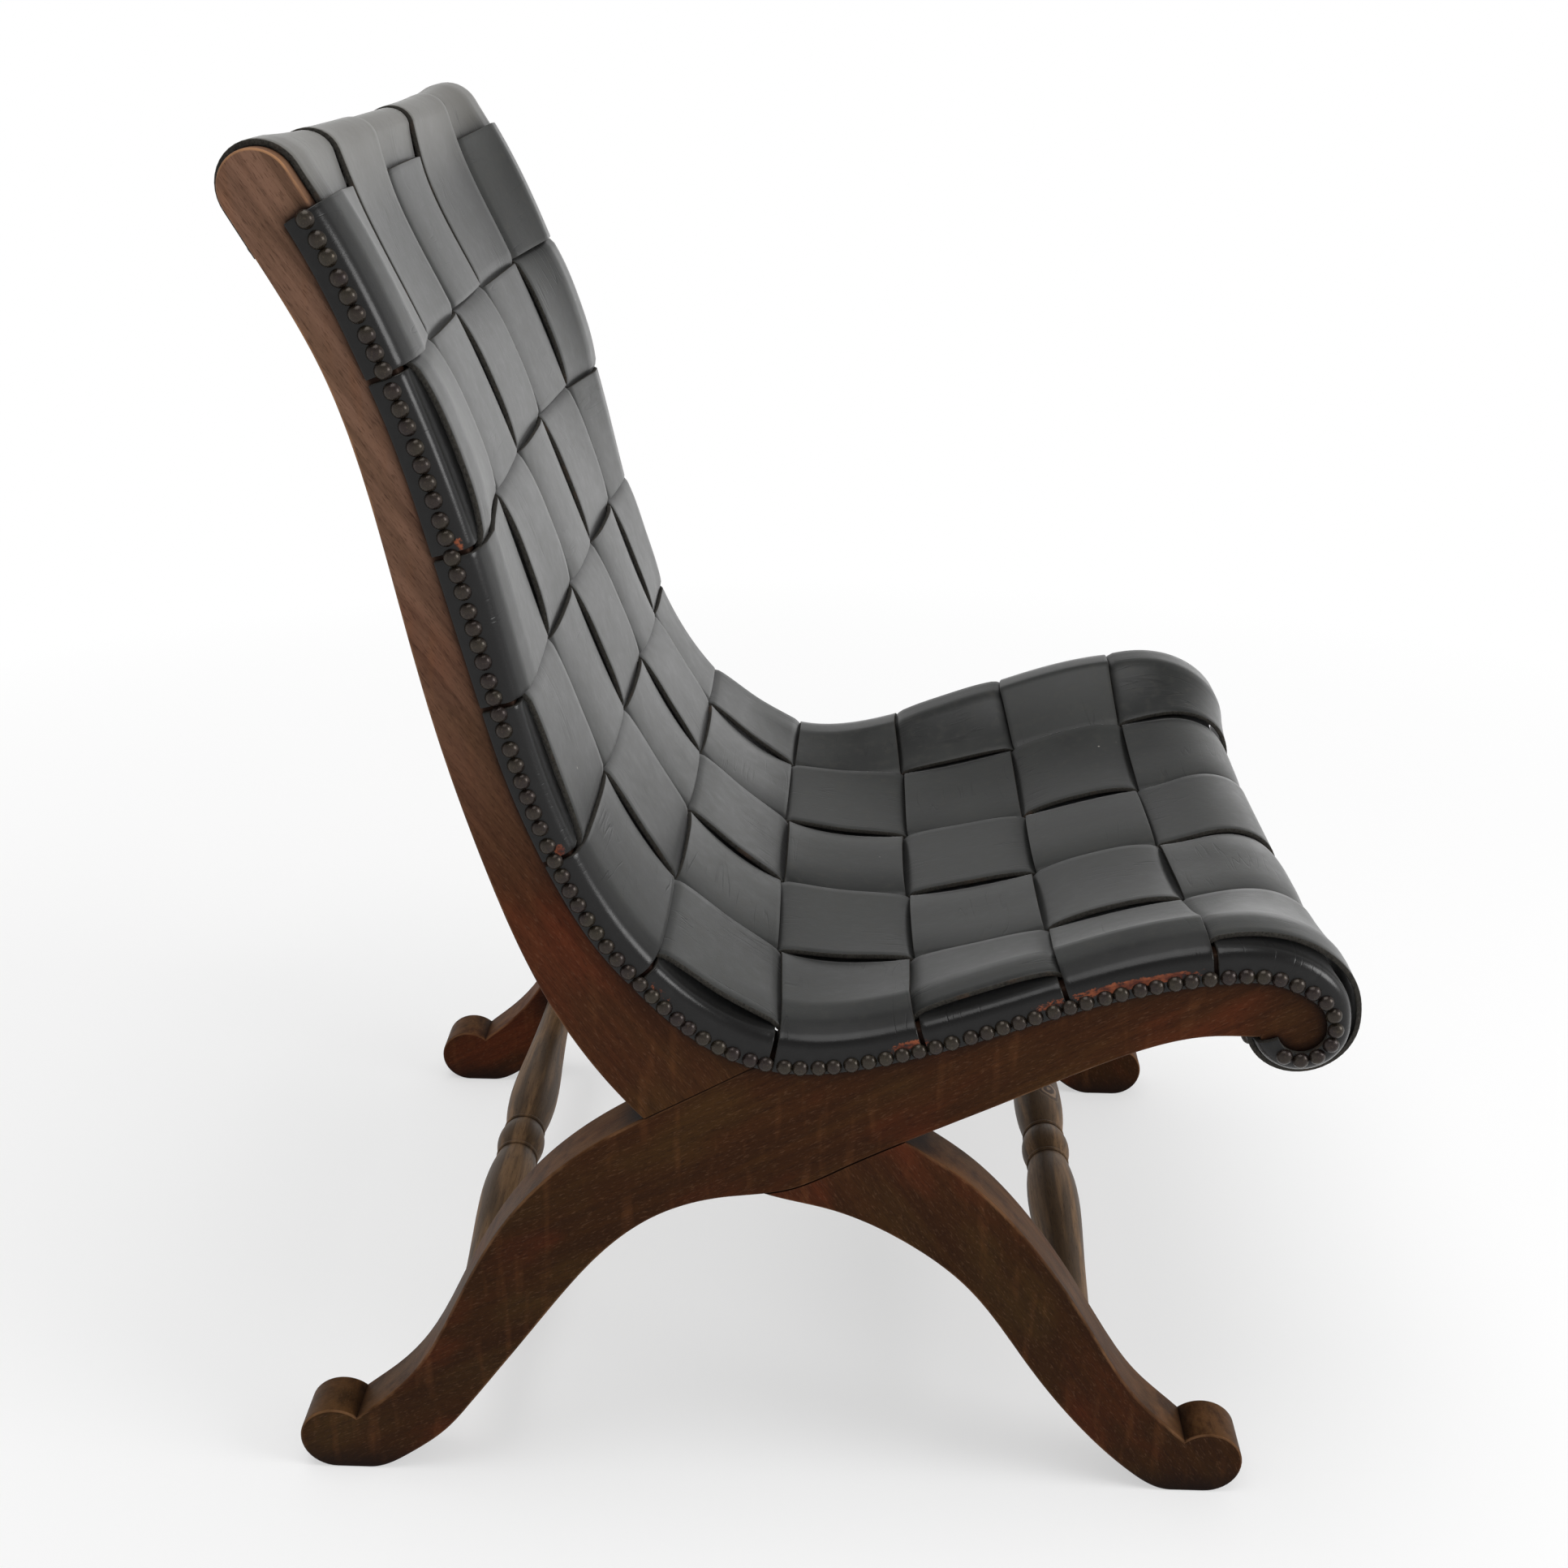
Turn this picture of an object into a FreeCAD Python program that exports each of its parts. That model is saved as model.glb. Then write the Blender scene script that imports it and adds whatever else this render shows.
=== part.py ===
import FreeCAD, Part
import math
import os
import Sketcher

Vector = FreeCAD.Vector
Placement = FreeCAD.Placement
Rotation = FreeCAD.Rotation

# Low chair on two X shaped side frames, with a woven leather seat and back.
# X runs across the chair, Y from the front to the rear, Z up.
# The origin is on the floor, under the middle of the chair.

doc = FreeCAD.newDocument("woven_chair")
sheet = doc.addObject("Spreadsheet::Sheet", "Sizes")

# Driving sizes in millimetres, and angles in degrees.
SIZES = (
    ("overall_width", 470, "outer face to outer face of the side frames"),
    ("side_depth", 582, "front scroll to the back of the rear foot"),
    ("side_height", 752, "floor to the top of the back post"),
    ("board_thickness", 31, "thickness of the side boards"),
    ("top_scroll_radius", 18, "scroll at the top of the back post"),
    ("front_scroll_radius", 22.5, "scroll at the front of the seat rail"),
    ("foot_radius", 21, "round end of each foot"),
    ("arris_radius", 1.6, "rounded edges of the boards"),
    ("top_rail_diameter", 27, "round top of the rail between the back posts"),
    ("top_rail_thickness", 14, "flat lower part of that rail"),
    ("top_rail_drop", 27, "length of that flat part, from where the scroll ends"),
    ("front_rail_diameter", 38, "bar between the front scrolls"),
    ("front_rail_angle", 325, "direction in which that bar meets the scroll's outline"),
    ("rail_tenon_diameter", 15, "round tenon on each end of a rail"),
    ("tenon_length", 20, "length of every round tenon"),
    ("tenon_clearance", 0.15, "room round a tenon and past its end"),
    ("stretcher_end_diameter", 20, "turned stretcher at the legs"),
    ("stretcher_bulb_diameter", 33, "thickest place of the stretcher"),
    ("stretcher_bead_diameter", 32, "bead in the middle of the stretcher"),
    ("stretcher_neck_diameter", 26, "groove on each side of the bead"),
    ("stretcher_lip_diameter", 28.6, "fine ring beside the groove"),
    ("stretcher_bead_length", 30, "length of the bead"),
    ("stretcher_lip_length", 3, "length of the fine ring"),
    ("stretcher_bulb_place", 48, "middle of the chair to the thickest place"),
    ("stretcher_tenon_diameter", 14, "tenon on each end of a stretcher"),
    ("strap_thickness", 3, "thickness of the leather"),
    ("strap_tail", 25, "end of a long strap, down behind the top scroll"),
    ("strap_gap", 3.5, "open line between neighbouring straps"),
    ("strap_clearance", 0.1, "room between one leather layer and the next"),
    ("rim_width", 9, "outer long strap to the face of the side frame"),
    ("seat_sag", 35, "deepest sag of the leather between the side frames"),
    ("nail_pitch", 9.25, "nail to nail along the folded edges"),
    ("nail_head_diameter", 9, "domed head"),
    ("nail_head_height", 3.3, "height of the dome"),
    ("nail_shank_diameter", 1.6, "shank"),
    ("nail_shank_length", 13, "shank below the head"),
    ("nail_clearance", 0.1, "room round and under a nail"),
    ("nail_inset", 10, "edge of the seat to the line of nails"),
    ("flap_margin", 10, "leather below the middle of a nail, where it is widest"),
    ("cut_overrun", 1, "how far a cut runs past a face"),
    ("curve_step", 14, "spacing of points along the leather"),
    ("slope_step", 0.2, "half the length over which a slope is measured"),
    ("top_nail_margin", 5, "strap's end to its nails in the top rail"),
    ("front_nail_margin", 6, "strap's end to its nails in the front rail"),
)
for row, (alias, value, meaning) in enumerate(SIZES, 1):
    sheet.set(f"A{row}", alias)
    sheet.set(f"B{row}", str(value))
    sheet.set(f"C{row}", meaning)
    sheet.setAlias(f"B{row}", alias)
doc.recompute()


def size(alias):
    return float(sheet.get(alias))


WIDTH = size("overall_width")
DEPTH = size("side_depth")
HEIGHT = size("side_height")
BOARD = size("board_thickness")
INNER_FACE = WIDTH / 2 - BOARD
TOP_RADIUS = size("top_scroll_radius")
FRONT_RADIUS = size("front_scroll_radius")
FOOT_RADIUS = size("foot_radius")
LEATHER = size("strap_thickness")
ROOM = size("strap_clearance")
GAP = size("strap_gap")
STEP = size("curve_step")
PROBE = size("slope_step")
OVERRUN = size("cut_overrun")

# Outlines are shares of the side's depth, forward of and behind the legs' middle, and of its height.
MIDDLE_SHARE = 0.0273
TOP_SCROLL_SHARE = 0.4038
FRONT_SCROLL_SHARES = (-0.4828, 0.4169)
FOOT_SHARE = 0.4416
LEATHER_SHARES = (
    (0.3601, 0.9661), (0.3007, 0.8678), (0.2524, 0.7540), (0.2216, 0.6497), (0.1773, 0.5410),
    (0.1077, 0.4541), (-0.0052, 0.3981), (-0.1352, 0.4093), (-0.2637, 0.4453), (-0.3971, 0.4741),
    (-0.4485, 0.4741), (-0.4948, 0.4594), (-0.5163, 0.4395),
)
POST_FRONT_SHARES = (
    (0.0086, 0.3902), (-0.0653, 0.3504), (-0.1266, 0.3158), (-0.1890, 0.2812), (-0.2512, 0.2287),
    (-0.2921, 0.1822), (-0.3368, 0.1230), (-0.3711, 0.0844),
)
POST_REAR_SHARES = (
    (-0.4089, 0.0), (-0.3660, 0.0166), (-0.3256, 0.0469), (-0.2546, 0.1184), (-0.1890, 0.1902),
    (-0.1316, 0.2267), (-0.0550, 0.2553), (0.0052, 0.2673), (0.0687, 0.2945), (0.1361, 0.3444),
    (0.2045, 0.4255), (0.2533, 0.5235), (0.2952, 0.6414), (0.3206, 0.7384), (0.3405, 0.8098),
    (0.3660, 0.8710),
)
RAIL_BOTTOM_SHARES = (
    (-0.4029, 0.4086), (-0.3196, 0.3894), (-0.2337, 0.3564), (-0.1266, 0.3150), (-0.0701, 0.2918),
    (-0.0182, 0.2715), (0.0460, 0.2630), (0.1108, 0.2447), (0.1474, 0.2231), (0.2110, 0.1636),
    (0.2522, 0.1184), (0.2995, 0.0672), (0.3280, 0.0392), (0.3677, 0.0140), (0.4089, 0.0),
)
RAIL_TOP_SHARES = (
    (0.3814, 0.0731), (0.3540, 0.0971), (0.3093, 0.1609), (0.2704, 0.2194), (0.2277, 0.2645),
    (0.1653, 0.3074), (0.0749, 0.3495), (0.0325, 0.3684), (-0.0206, 0.3883),
)
POST_LEAVES_SHARE = 0.0773
RAIL_JOINS_SHARE = -0.0773
FRONT_STRETCHER_SHARES = (-0.3108, 0.1057)
REAR_STRETCHER_SHARES = (0.3108, 0.0989)

# Angles on the scrolls and feet, counterclockwise in the side view, with the front to the left.
TOP_ARC = (-30, 150)
FRONT_ARC = (180, 345)
FRONT_FOOT_ARC = (49, 270)
REAR_FOOT_ARC = (-90, 131)
STRAP_END_ANGLE = 340

# Where each cross strap begins, as a share of the leather's length from behind the top scroll.
ROW_SHARES = (0.0767, 0.1619, 0.2555, 0.3385, 0.4273, 0.5071, 0.5897, 0.6697, 0.7519, 0.8351, 1.0)
# Edges of the long straps, as shares of the frame's width from the sitter's right.
COLUMN_SHARES = (0.212, 0.418, 0.620, 0.822)
# The nails' distance from the edge along the leather, as shares of nail_inset.
NAIL_INSET_SHARES = (
    (0.0, 0.45), (0.08, 0.5), (0.17, 0.6), (0.26, 0.85), (0.38, 0.8), (0.50, 1.0), (0.575, 1.4),
    (0.66, 1.1), (0.74, 1.05), (0.83, 1.25), (0.88, 1.1), (0.94, 0.6), (1.0, 0.5),
)
# The leather beyond the nails, along its length, as shares of flap_margin.
FLAP_MARGIN_SHARES = ((0.0, 1.0), (0.26, 0.95), (0.36, 0.8), (0.46, 0.55), (0.56, 0.4), (1.0, 0.4))
NAILS_ACROSS_STRAP = 4
# How far the leather sags in the middle, along its length, as shares of seat_sag. It rests on both rails.
SAG_SHARES = (
    (0.0, 0.0), (0.005, 0.0), (0.01, 0.004), (0.02, 0.034), (0.03, 0.085), (0.045, 0.165), (0.06, 0.223),
    (0.0767, 0.47), (0.1, 0.55), (0.1619, 0.53), (0.2555, 0.37), (0.3385, 0.1), (0.4273, -0.07),
    (0.5071, -0.03), (0.5897, 0.2), (0.6697, 0.68), (0.7519, 0.96), (0.82, 1.0), (0.86, 0.88),
    (0.885, 0.62), (0.91, 0.35), (0.93, 0.195), (0.95, 0.125), (0.97, 0.045), (0.988, 0.0), (1.0, 0.0),
)
# How that sag falls off from the middle to the inner faces of the side frames, as shares of each.
SAG_ACROSS_SHARES = ((0.0, 1.0), (0.22, 0.995), (0.45, 0.94), (0.66, 0.76), (0.84, 0.46), (1.0, 0.0))

# The side view's plane: its first axis is Y and its second is Z.
SIDE_TURN = Rotation(Vector(1, 1, 1), 120)


def side_point(y_share, z_share):
    return Vector((y_share + MIDDLE_SHARE) * DEPTH, z_share * HEIGHT, 0)


def direction(angle):
    return Vector(math.cos(math.radians(angle)), math.sin(math.radians(angle)), 0)


def arc_between(centre, radius, angles):
    first, last = angles
    middle = (first + last) / 2
    places = [centre + direction(angle) * radius for angle in (first, middle, last)]
    return Part.Arc(*places)


def spline(points, start=None, end=None):
    curve = Part.BSplineCurve()
    if start is None:
        curve.interpolate(Points=points)
    else:
        curve.interpolate(Points=points, InitialTangent=start, FinalTangent=end, Scale=False)
    return curve


TOP_CENTRE = Vector(side_point(TOP_SCROLL_SHARE, 0).x, HEIGHT - TOP_RADIUS, 0)
FRONT_CENTRE = side_point(*FRONT_SCROLL_SHARES)
FRONT_FOOT = Vector(side_point(-FOOT_SHARE, 0).x, FOOT_RADIUS, 0)
REAR_FOOT = Vector(side_point(FOOT_SHARE, 0).x, FOOT_RADIUS, 0)


class LeatherLine:
    """The edge that the leather lies on, from the back of the top scroll to under the front scroll.

    A length below zero is on the straight tail, below the top scroll.
    """

    def __init__(self):
        first = TOP_CENTRE + direction(TOP_ARC[1]) * TOP_RADIUS
        last = FRONT_CENTRE + direction(FRONT_ARC[0]) * FRONT_RADIUS
        between = [side_point(*shares) for shares in LEATHER_SHARES]
        self.curve = spline([first] + between + [last], direction(TOP_ARC[1] + 90), Vector(0, -1, 0))
        self.top_length = TOP_RADIUS * math.radians(TOP_ARC[1] - TOP_ARC[0])
        self.curve_length = self.curve.length()
        front_length = FRONT_RADIUS * math.radians(STRAP_END_ANGLE - FRONT_ARC[0])
        self.curve_end = self.top_length + self.curve_length
        self.length = self.curve_end + front_length
        self.sag_line = Part.BSplineCurve()
        self.sag_line.interpolate(Points=[Vector(share, fall, 0) for share, fall in SAG_SHARES],
                                  Parameters=[share for share, fall in SAG_SHARES])

    def parameter_at_y(self, y_share):
        """The spline's parameter where the edge passes a place along the chair."""
        wanted = side_point(y_share, 0).x
        low, high = self.curve.FirstParameter, self.curve.LastParameter
        for halving in range(50):
            middle = (low + high) / 2
            if self.curve.value(middle).x > wanted:
                low = middle
            else:
                high = middle
        return low

    def place(self, along):
        """Point on the edge and the direction away from the wood, at a length along the leather."""
        if along < 0:
            outward = direction(TOP_ARC[0])
            return TOP_CENTRE + outward * TOP_RADIUS + direction(TOP_ARC[0] + 90) * along, outward
        if along <= self.top_length:
            outward = direction(TOP_ARC[0] + math.degrees(along / TOP_RADIUS))
            return TOP_CENTRE + outward * TOP_RADIUS, outward
        if along >= self.curve_end:
            turned = math.degrees((along - self.curve_end) / FRONT_RADIUS)
            outward = direction(FRONT_ARC[0] + turned)
            return FRONT_CENTRE + outward * FRONT_RADIUS, outward
        parameter = self.curve.parameterAtDistance(along - self.top_length, self.curve.FirstParameter)
        ahead = self.curve.tangent(parameter)[0]
        return self.curve.value(parameter), Vector(ahead.y, -ahead.x, 0)

    def sag(self, along):
        """How far the leather hangs below the side frames' edge in the middle of the chair."""
        return size("seat_sag") * self.sag_line.value(max(0, along / self.length)).y

    def lifted(self, along, height, fall=0):
        """Place above the edge, lowered by a share of the sag in the middle."""
        point, outward = self.place(along)
        return point + outward * (height - fall * self.sag(along) if fall else height)

    def stretch(self, start, end, height, fall=0):
        """One edge along the leather at a height, or at a height that a function gives."""
        def spot(at):
            return self.lifted(at, height(at) if callable(height) else height, fall)

        def slope(at):
            return (spot(at + PROBE) - spot(at - PROBE)) / (2 * PROBE)

        pieces = max(2, math.ceil((end - start) / STEP))
        stations = [start + (end - start) * step / pieces for step in range(pieces + 1)]
        curve = Part.BSplineCurve()
        curve.interpolate(Points=[spot(at) for at in stations], Parameters=stations,
                          InitialTangent=slope(start), FinalTangent=slope(end), Scale=False)
        return curve.toShape()


leather = LeatherLine()
row_starts = [share * leather.length for share in ROW_SHARES]
LOW_UNDER = ROOM
LOW_OVER = LOW_UNDER + LEATHER
HIGH_UNDER = LOW_OVER + ROOM
HIGH_OVER = HIGH_UNDER + LEATHER


def eased(table, share):
    """Value of a table of places and values at a place, eased from one row to the next."""
    for (start, before), (end, after) in zip(table, table[1:]):
        if share <= end:
            part = max(0, (share - start) / (end - start))
            return before + (after - before) * part * part * (3 - 2 * part)
    return table[-1][1]


def nail_inset(along):
    return size("nail_inset") * eased(NAIL_INSET_SHARES, along / leather.length)


def flap_margin(along):
    return size("flap_margin") * eased(FLAP_MARGIN_SHARES, along / leather.length)


def flap_level(along):
    return -nail_inset(along) - flap_margin(along)


def closed_wire(upper, lower):
    """Wire round the run between two runs of edges that both lead the same way."""
    start = Part.makeLine(lower[0].Vertexes[0].Point, upper[0].Vertexes[0].Point)
    end = Part.makeLine(upper[-1].Vertexes[-1].Point, lower[-1].Vertexes[-1].Point)
    back = list(reversed(lower))
    return Part.Wire(upper + [end] + back + [start])


def stood_at(wire, x):
    """A wire of the side view, put at a place across the chair."""
    wire.Placement = Placement(Vector(x, 0, 0), SIDE_TURN)
    return wire


def fall_at(x):
    """Share of the sag at a place across the chair."""
    reach = abs(x) / INNER_FACE
    for (start, before), (end, after) in zip(SAG_ACROSS_SHARES, SAG_ACROSS_SHARES[1:]):
        if reach <= end:
            return before + (after - before) * (reach - start) / (end - start)
    return 0


def places_across(start, end):
    """Places from one to the other, with each place between them where the sag's slope changes."""
    bends = [side * share * INNER_FACE for share, fall in SAG_ACROSS_SHARES for side in (-1, 1)]
    inside = {round(bend, 6) for bend in bends if start + ROOM < bend < end - ROOM}
    return [start] + sorted(inside) + [end]


def shaped(label, shape):
    """A sub-part, or a cutting tool, whose shape comes from the sizes by these functions."""
    feature = doc.addObject("Part::Feature", label)
    feature.Label = label
    feature.Shape = shape
    return feature


parts = []


def keep(label, feature):
    feature.Label = label
    parts.append(feature)


def drilled(label, blank, holes):
    """A sub-part cut by its pilot holes."""
    cut = doc.addObject("Part::Cut", label)
    cut.Base = blank
    cut.Tool = shaped(label + "_pilot_holes", Part.makeCompound(holes))
    keep(label, cut)


# Outlines of the boards in the side view.
def post_outline():
    leaves = leather.parameter_at_y(POST_LEAVES_SHARE)
    edge = leather.curve.copy()
    edge.segment(leather.curve.FirstParameter, leaves)
    notch = FRONT_FOOT + direction(FRONT_FOOT_ARC[0]) * FOOT_RADIUS
    front = [edge.EndPoint] + [side_point(*shares) for shares in POST_FRONT_SHARES] + [notch]
    heading = leather.curve.tangent(leaves)[0]
    foot = arc_between(FRONT_FOOT, FOOT_RADIUS, FRONT_FOOT_ARC)
    rear = [side_point(*shares) for shares in POST_REAR_SHARES]
    rear += [leather.place(-size("strap_tail"))[0], leather.place(0)[0]]
    sole = Part.LineSegment(foot.EndPoint, rear[0])
    scroll = arc_between(TOP_CENTRE, TOP_RADIUS, TOP_ARC)
    return [
        scroll,
        edge,
        spline(front, heading, (notch - front[-2]).normalize()),
        foot,
        sole,
        spline(rear, Vector(1, 0, 0), direction(TOP_ARC[0] + 90)),
    ]


def rail_outline():
    joins = leather.parameter_at_y(RAIL_JOINS_SHARE)
    edge = leather.curve.copy()
    edge.segment(joins, leather.curve.LastParameter)
    scroll = arc_between(FRONT_CENTRE, FRONT_RADIUS, FRONT_ARC)
    bottom = [scroll.EndPoint] + [side_point(*shares) for shares in RAIL_BOTTOM_SHARES]
    foot = arc_between(REAR_FOOT, FOOT_RADIUS, REAR_FOOT_ARC)
    sole = Part.LineSegment(bottom[-1], foot.StartPoint)
    top = [foot.EndPoint] + [side_point(*shares) for shares in RAIL_TOP_SHARES] + [edge.StartPoint]
    heading = leather.curve.tangent(joins)[0]
    return [
        edge,
        scroll,
        spline(bottom, (bottom[1] - bottom[0]).normalize(), Vector(1, 0, 0)),
        sole,
        foot,
        spline(top, (top[1] - top[0]).normalize(), heading),
    ]


POST_OUTLINE = post_outline()
RAIL_OUTLINE = rail_outline()


def side_sketch(body, name, geometry, place):
    """A sketch of the side view, at a place across the chair that follows the sheet."""
    plane = next(f for f in body.Origin.OriginFeatures if f.Role == "YZ_Plane")
    sketch = body.newObject("Sketcher::SketchObject", name)
    sketch.AttachmentSupport = (plane, "")
    sketch.MapMode = "FlatFace"
    sketch.setExpression("AttachmentOffset.Base.z", place)
    for curve in geometry:
        sketch.addGeometry(curve, False)
    return sketch


def circle_sketch(body, name, centre, diameter, place):
    """A circle in the side view, whose diameter follows the sheet."""
    circle = Part.Circle(centre, Vector(0, 0, 1), OVERRUN)
    sketch = side_sketch(body, name, [circle], place)
    sketch.addConstraint(Sketcher.Constraint("Diameter", 0, 2 * OVERRUN))
    sketch.renameConstraint(0, "bore")
    sketch.setExpression("Constraints.bore", diameter)
    return sketch


def pocket(body, name, sketch, length, toward_right):
    cut = body.newObject("PartDesign::Pocket", name)
    cut.Profile = sketch
    cut.setExpression("Length", length)
    cut.Reversed = not toward_right
    sketch.Visibility = False
    return cut


def arris_edges(pad):
    """Names of the long edges round both faces of a board."""
    names = []
    for number, edge in enumerate(pad.Shape.Edges, 1):
        if edge.BoundBox.XLength < OVERRUN:
            names.append(f"Edge{number}")
    return names


def board(label, outline, other_outline, right, notch_outside, mortises):
    """One board of a side frame: padded, rounded, notched for the lap and bored for the tenons."""
    body = doc.addObject("PartDesign::Body", label + "_blank")
    sign = "-" if right else ""
    near = "-Sizes.overall_width / 2" if right else "Sizes.overall_width / 2 - Sizes.board_thickness"
    sketch = side_sketch(body, label + "_outline", outline, near)
    pad = body.newObject("PartDesign::Pad", label + "_pad")
    pad.Profile = sketch
    pad.setExpression("Length", "Sizes.board_thickness")
    sketch.Visibility = False
    doc.recompute()
    rounding = body.newObject("PartDesign::Fillet", label + "_arris")
    rounding.Base = (pad, arris_edges(pad))
    rounding.setExpression("Radius", "Sizes.arris_radius")
    middle = f"{sign}(Sizes.overall_width - Sizes.board_thickness) / 2"
    lap = side_sketch(body, label + "_lap_outline", other_outline, middle)
    toward_right = right == notch_outside
    pocket(body, label + "_lap", lap, "Sizes.board_thickness / 2 + Sizes.cut_overrun", toward_right)
    inner = f"{sign}(Sizes.overall_width / 2 - Sizes.board_thickness)"
    for name, centre, diameter in mortises:
        bore = circle_sketch(body, f"{label}_{name}_circle", centre,
                             f"Sizes.{diameter} + 2 * Sizes.tenon_clearance", inner)
        pocket(body, f"{label}_{name}", bore, "Sizes.tenon_length + Sizes.tenon_clearance", right)
    return body


TOP_RAIL_CENTRE = TOP_CENTRE + direction(TOP_ARC[0]) * (TOP_RADIUS - size("top_rail_diameter") / 2)
FRONT_RAIL_CENTRE = FRONT_CENTRE + direction(size("front_rail_angle")) * (
    FRONT_RADIUS - size("front_rail_diameter") / 2)
FRONT_STRETCHER = side_point(*FRONT_STRETCHER_SHARES)
REAR_STRETCHER = side_point(*REAR_STRETCHER_SHARES)


# Nails: one domed head on a shank, turned and set down wherever one is driven.
def nail_at(spot, outward):
    radius = size("nail_head_diameter") / 2
    rise = size("nail_head_height")
    lift = size("nail_clearance")
    shank = size("nail_shank_diameter") / 2
    edge = Vector(radius, 0, lift)
    crown = Vector(0, 0, lift + rise)
    shoulder = Vector(radius * math.sin(math.radians(45)), 0, lift + rise * math.cos(math.radians(45)))
    tip = Vector(0, 0, -size("nail_shank_length"))
    profile = Part.Wire([
        Part.Arc(crown, shoulder, edge).toShape(),
        Part.makeLine(edge, Vector(shank, 0, lift)),
        Part.makeLine(Vector(shank, 0, lift), Vector(shank, 0, tip.z + shank)),
        Part.makeLine(Vector(shank, 0, tip.z + shank), tip),
        Part.makeLine(tip, crown),
    ])
    nail = Part.Face(profile).revolve(Vector(0, 0, 0), Vector(0, 0, 1), 360)
    nail.Placement = Placement(spot, Rotation(Vector(0, 0, 1), outward))
    return nail


def pilot_at(spot, outward):
    radius = size("nail_shank_diameter") / 2 + size("nail_clearance")
    length = size("nail_shank_length") + size("nail_clearance")
    start = spot + outward * OVERRUN
    return Part.makeCylinder(radius, length + OVERRUN, start, outward * -1)


def world(side_place, x):
    return Vector(x, side_place.x, side_place.y)


def nail_line():
    """Lengths along the leather of the nails in one folded edge, equally spaced on their own line."""
    start = row_starts[0] + size("nail_head_diameter") / 2
    end = leather.length - flap_margin(leather.length)
    samples = 600
    reach = [start + (end - start) * number / samples for number in range(samples + 1)]
    spots = [leather.lifted(along, -nail_inset(along)) for along in reach]
    found = [reach[0]]
    walked = 0
    for number in range(samples):
        walked += spots[number].distanceToPoint(spots[number + 1])
        if walked >= size("nail_pitch") * len(found):
            found.append(reach[number + 1])
    return found


NAIL_LENGTHS = nail_line()
FLAP_FACE = WIDTH / 2 + ROOM + LEATHER


def side_nails(side):
    """Place, direction and length along the leather of each nail of one side, -1 for the right."""
    for along in NAIL_LENGTHS:
        spot = leather.lifted(along, -nail_inset(along))
        yield world(spot, side * FLAP_FACE), Vector(side, 0, 0), along


def column_edges(column):
    """Left and right edge of a long strap, counted from the sitter's right."""
    inner = [WIDTH * (share - 0.5) for share in COLUMN_SHARES]
    starts = [-WIDTH / 2 + size("rim_width")] + [place + GAP / 2 for place in inner]
    ends = [place - GAP / 2 for place in inner] + [WIDTH / 2 - size("rim_width")]
    return starts[column], ends[column]


COLUMNS = range(5)
ROWS = range(10)


def cross_on_top(row, column):
    return (row + column) % 2 == 0


def strap_nails(along, height, column):
    """Nails that hold one end of a long strap to its rail."""
    start, end = column_edges(column)
    spacing = (end - start) / NAILS_ACROSS_STRAP
    spot = leather.lifted(along, height)
    outward = leather.place(along)[1]
    for number in range(NAILS_ACROSS_STRAP):
        x = start + spacing * (number + 0.5)
        yield world(spot, x), Vector(0, outward.x, outward.y)


TOP_NAIL_LENGTH = size("top_nail_margin") - size("strap_tail")
FRONT_NAIL_LENGTH = leather.length - size("front_nail_margin")
TOP_NAILS = [list(strap_nails(TOP_NAIL_LENGTH, LOW_OVER, column)) for column in COLUMNS]
FRONT_NAILS = [list(strap_nails(FRONT_NAIL_LENGTH, HIGH_OVER, column)) for column in COLUMNS]


# Side boards.
def make_boards(right):
    side = "right" if right else "left"
    sign = -1 if right else 1
    holes = [pilot_at(spot, outward) for spot, outward, along in side_nails(sign)]
    end_nails = [nail for group in (TOP_NAILS, FRONT_NAILS) for column in group for nail in column]
    holes += [pilot_at(spot, outward) for spot, outward in end_nails
              if spot.x * sign > INNER_FACE - size("nail_head_diameter")]
    post_bores = (("rail_mortise", TOP_RAIL_CENTRE, "rail_tenon_diameter"),
                  ("stretcher_mortise", FRONT_STRETCHER, "stretcher_tenon_diameter"))
    rail_bores = (("rail_mortise", FRONT_RAIL_CENTRE, "rail_tenon_diameter"),
                  ("stretcher_mortise", REAR_STRETCHER, "stretcher_tenon_diameter"))
    post = board(f"{side}_back_post", POST_OUTLINE, RAIL_OUTLINE, right, True, post_bores)
    rail = board(f"{side}_seat_rail", RAIL_OUTLINE, POST_OUTLINE, right, False, rail_bores)
    drilled(f"{side}_back_post", post, holes)
    drilled(f"{side}_seat_rail", rail, holes)


# Bars between the side frames.
def crest_outline():
    """Section of the top rail: a round top and a flat part with a round lower edge."""
    radius = size("top_rail_diameter") / 2
    half = size("top_rail_thickness") / 2
    outward = direction(TOP_ARC[0])
    down = direction(TOP_ARC[0] - 90)
    back = TOP_RAIL_CENTRE + outward * radius
    low_back = back + down * (size("top_rail_drop") - half)
    low_front = low_back - outward * 2 * half
    inside = radius - 2 * half
    reach = math.sqrt(radius * radius - inside * inside)
    front = TOP_RAIL_CENTRE + outward * inside + down * reach
    return [
        Part.Arc(back, TOP_RAIL_CENTRE - outward * radius, front),
        Part.LineSegment(front, low_front),
        Part.Arc(low_front, low_back - outward * half + down * half, low_back),
        Part.LineSegment(low_back, back),
    ]


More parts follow.
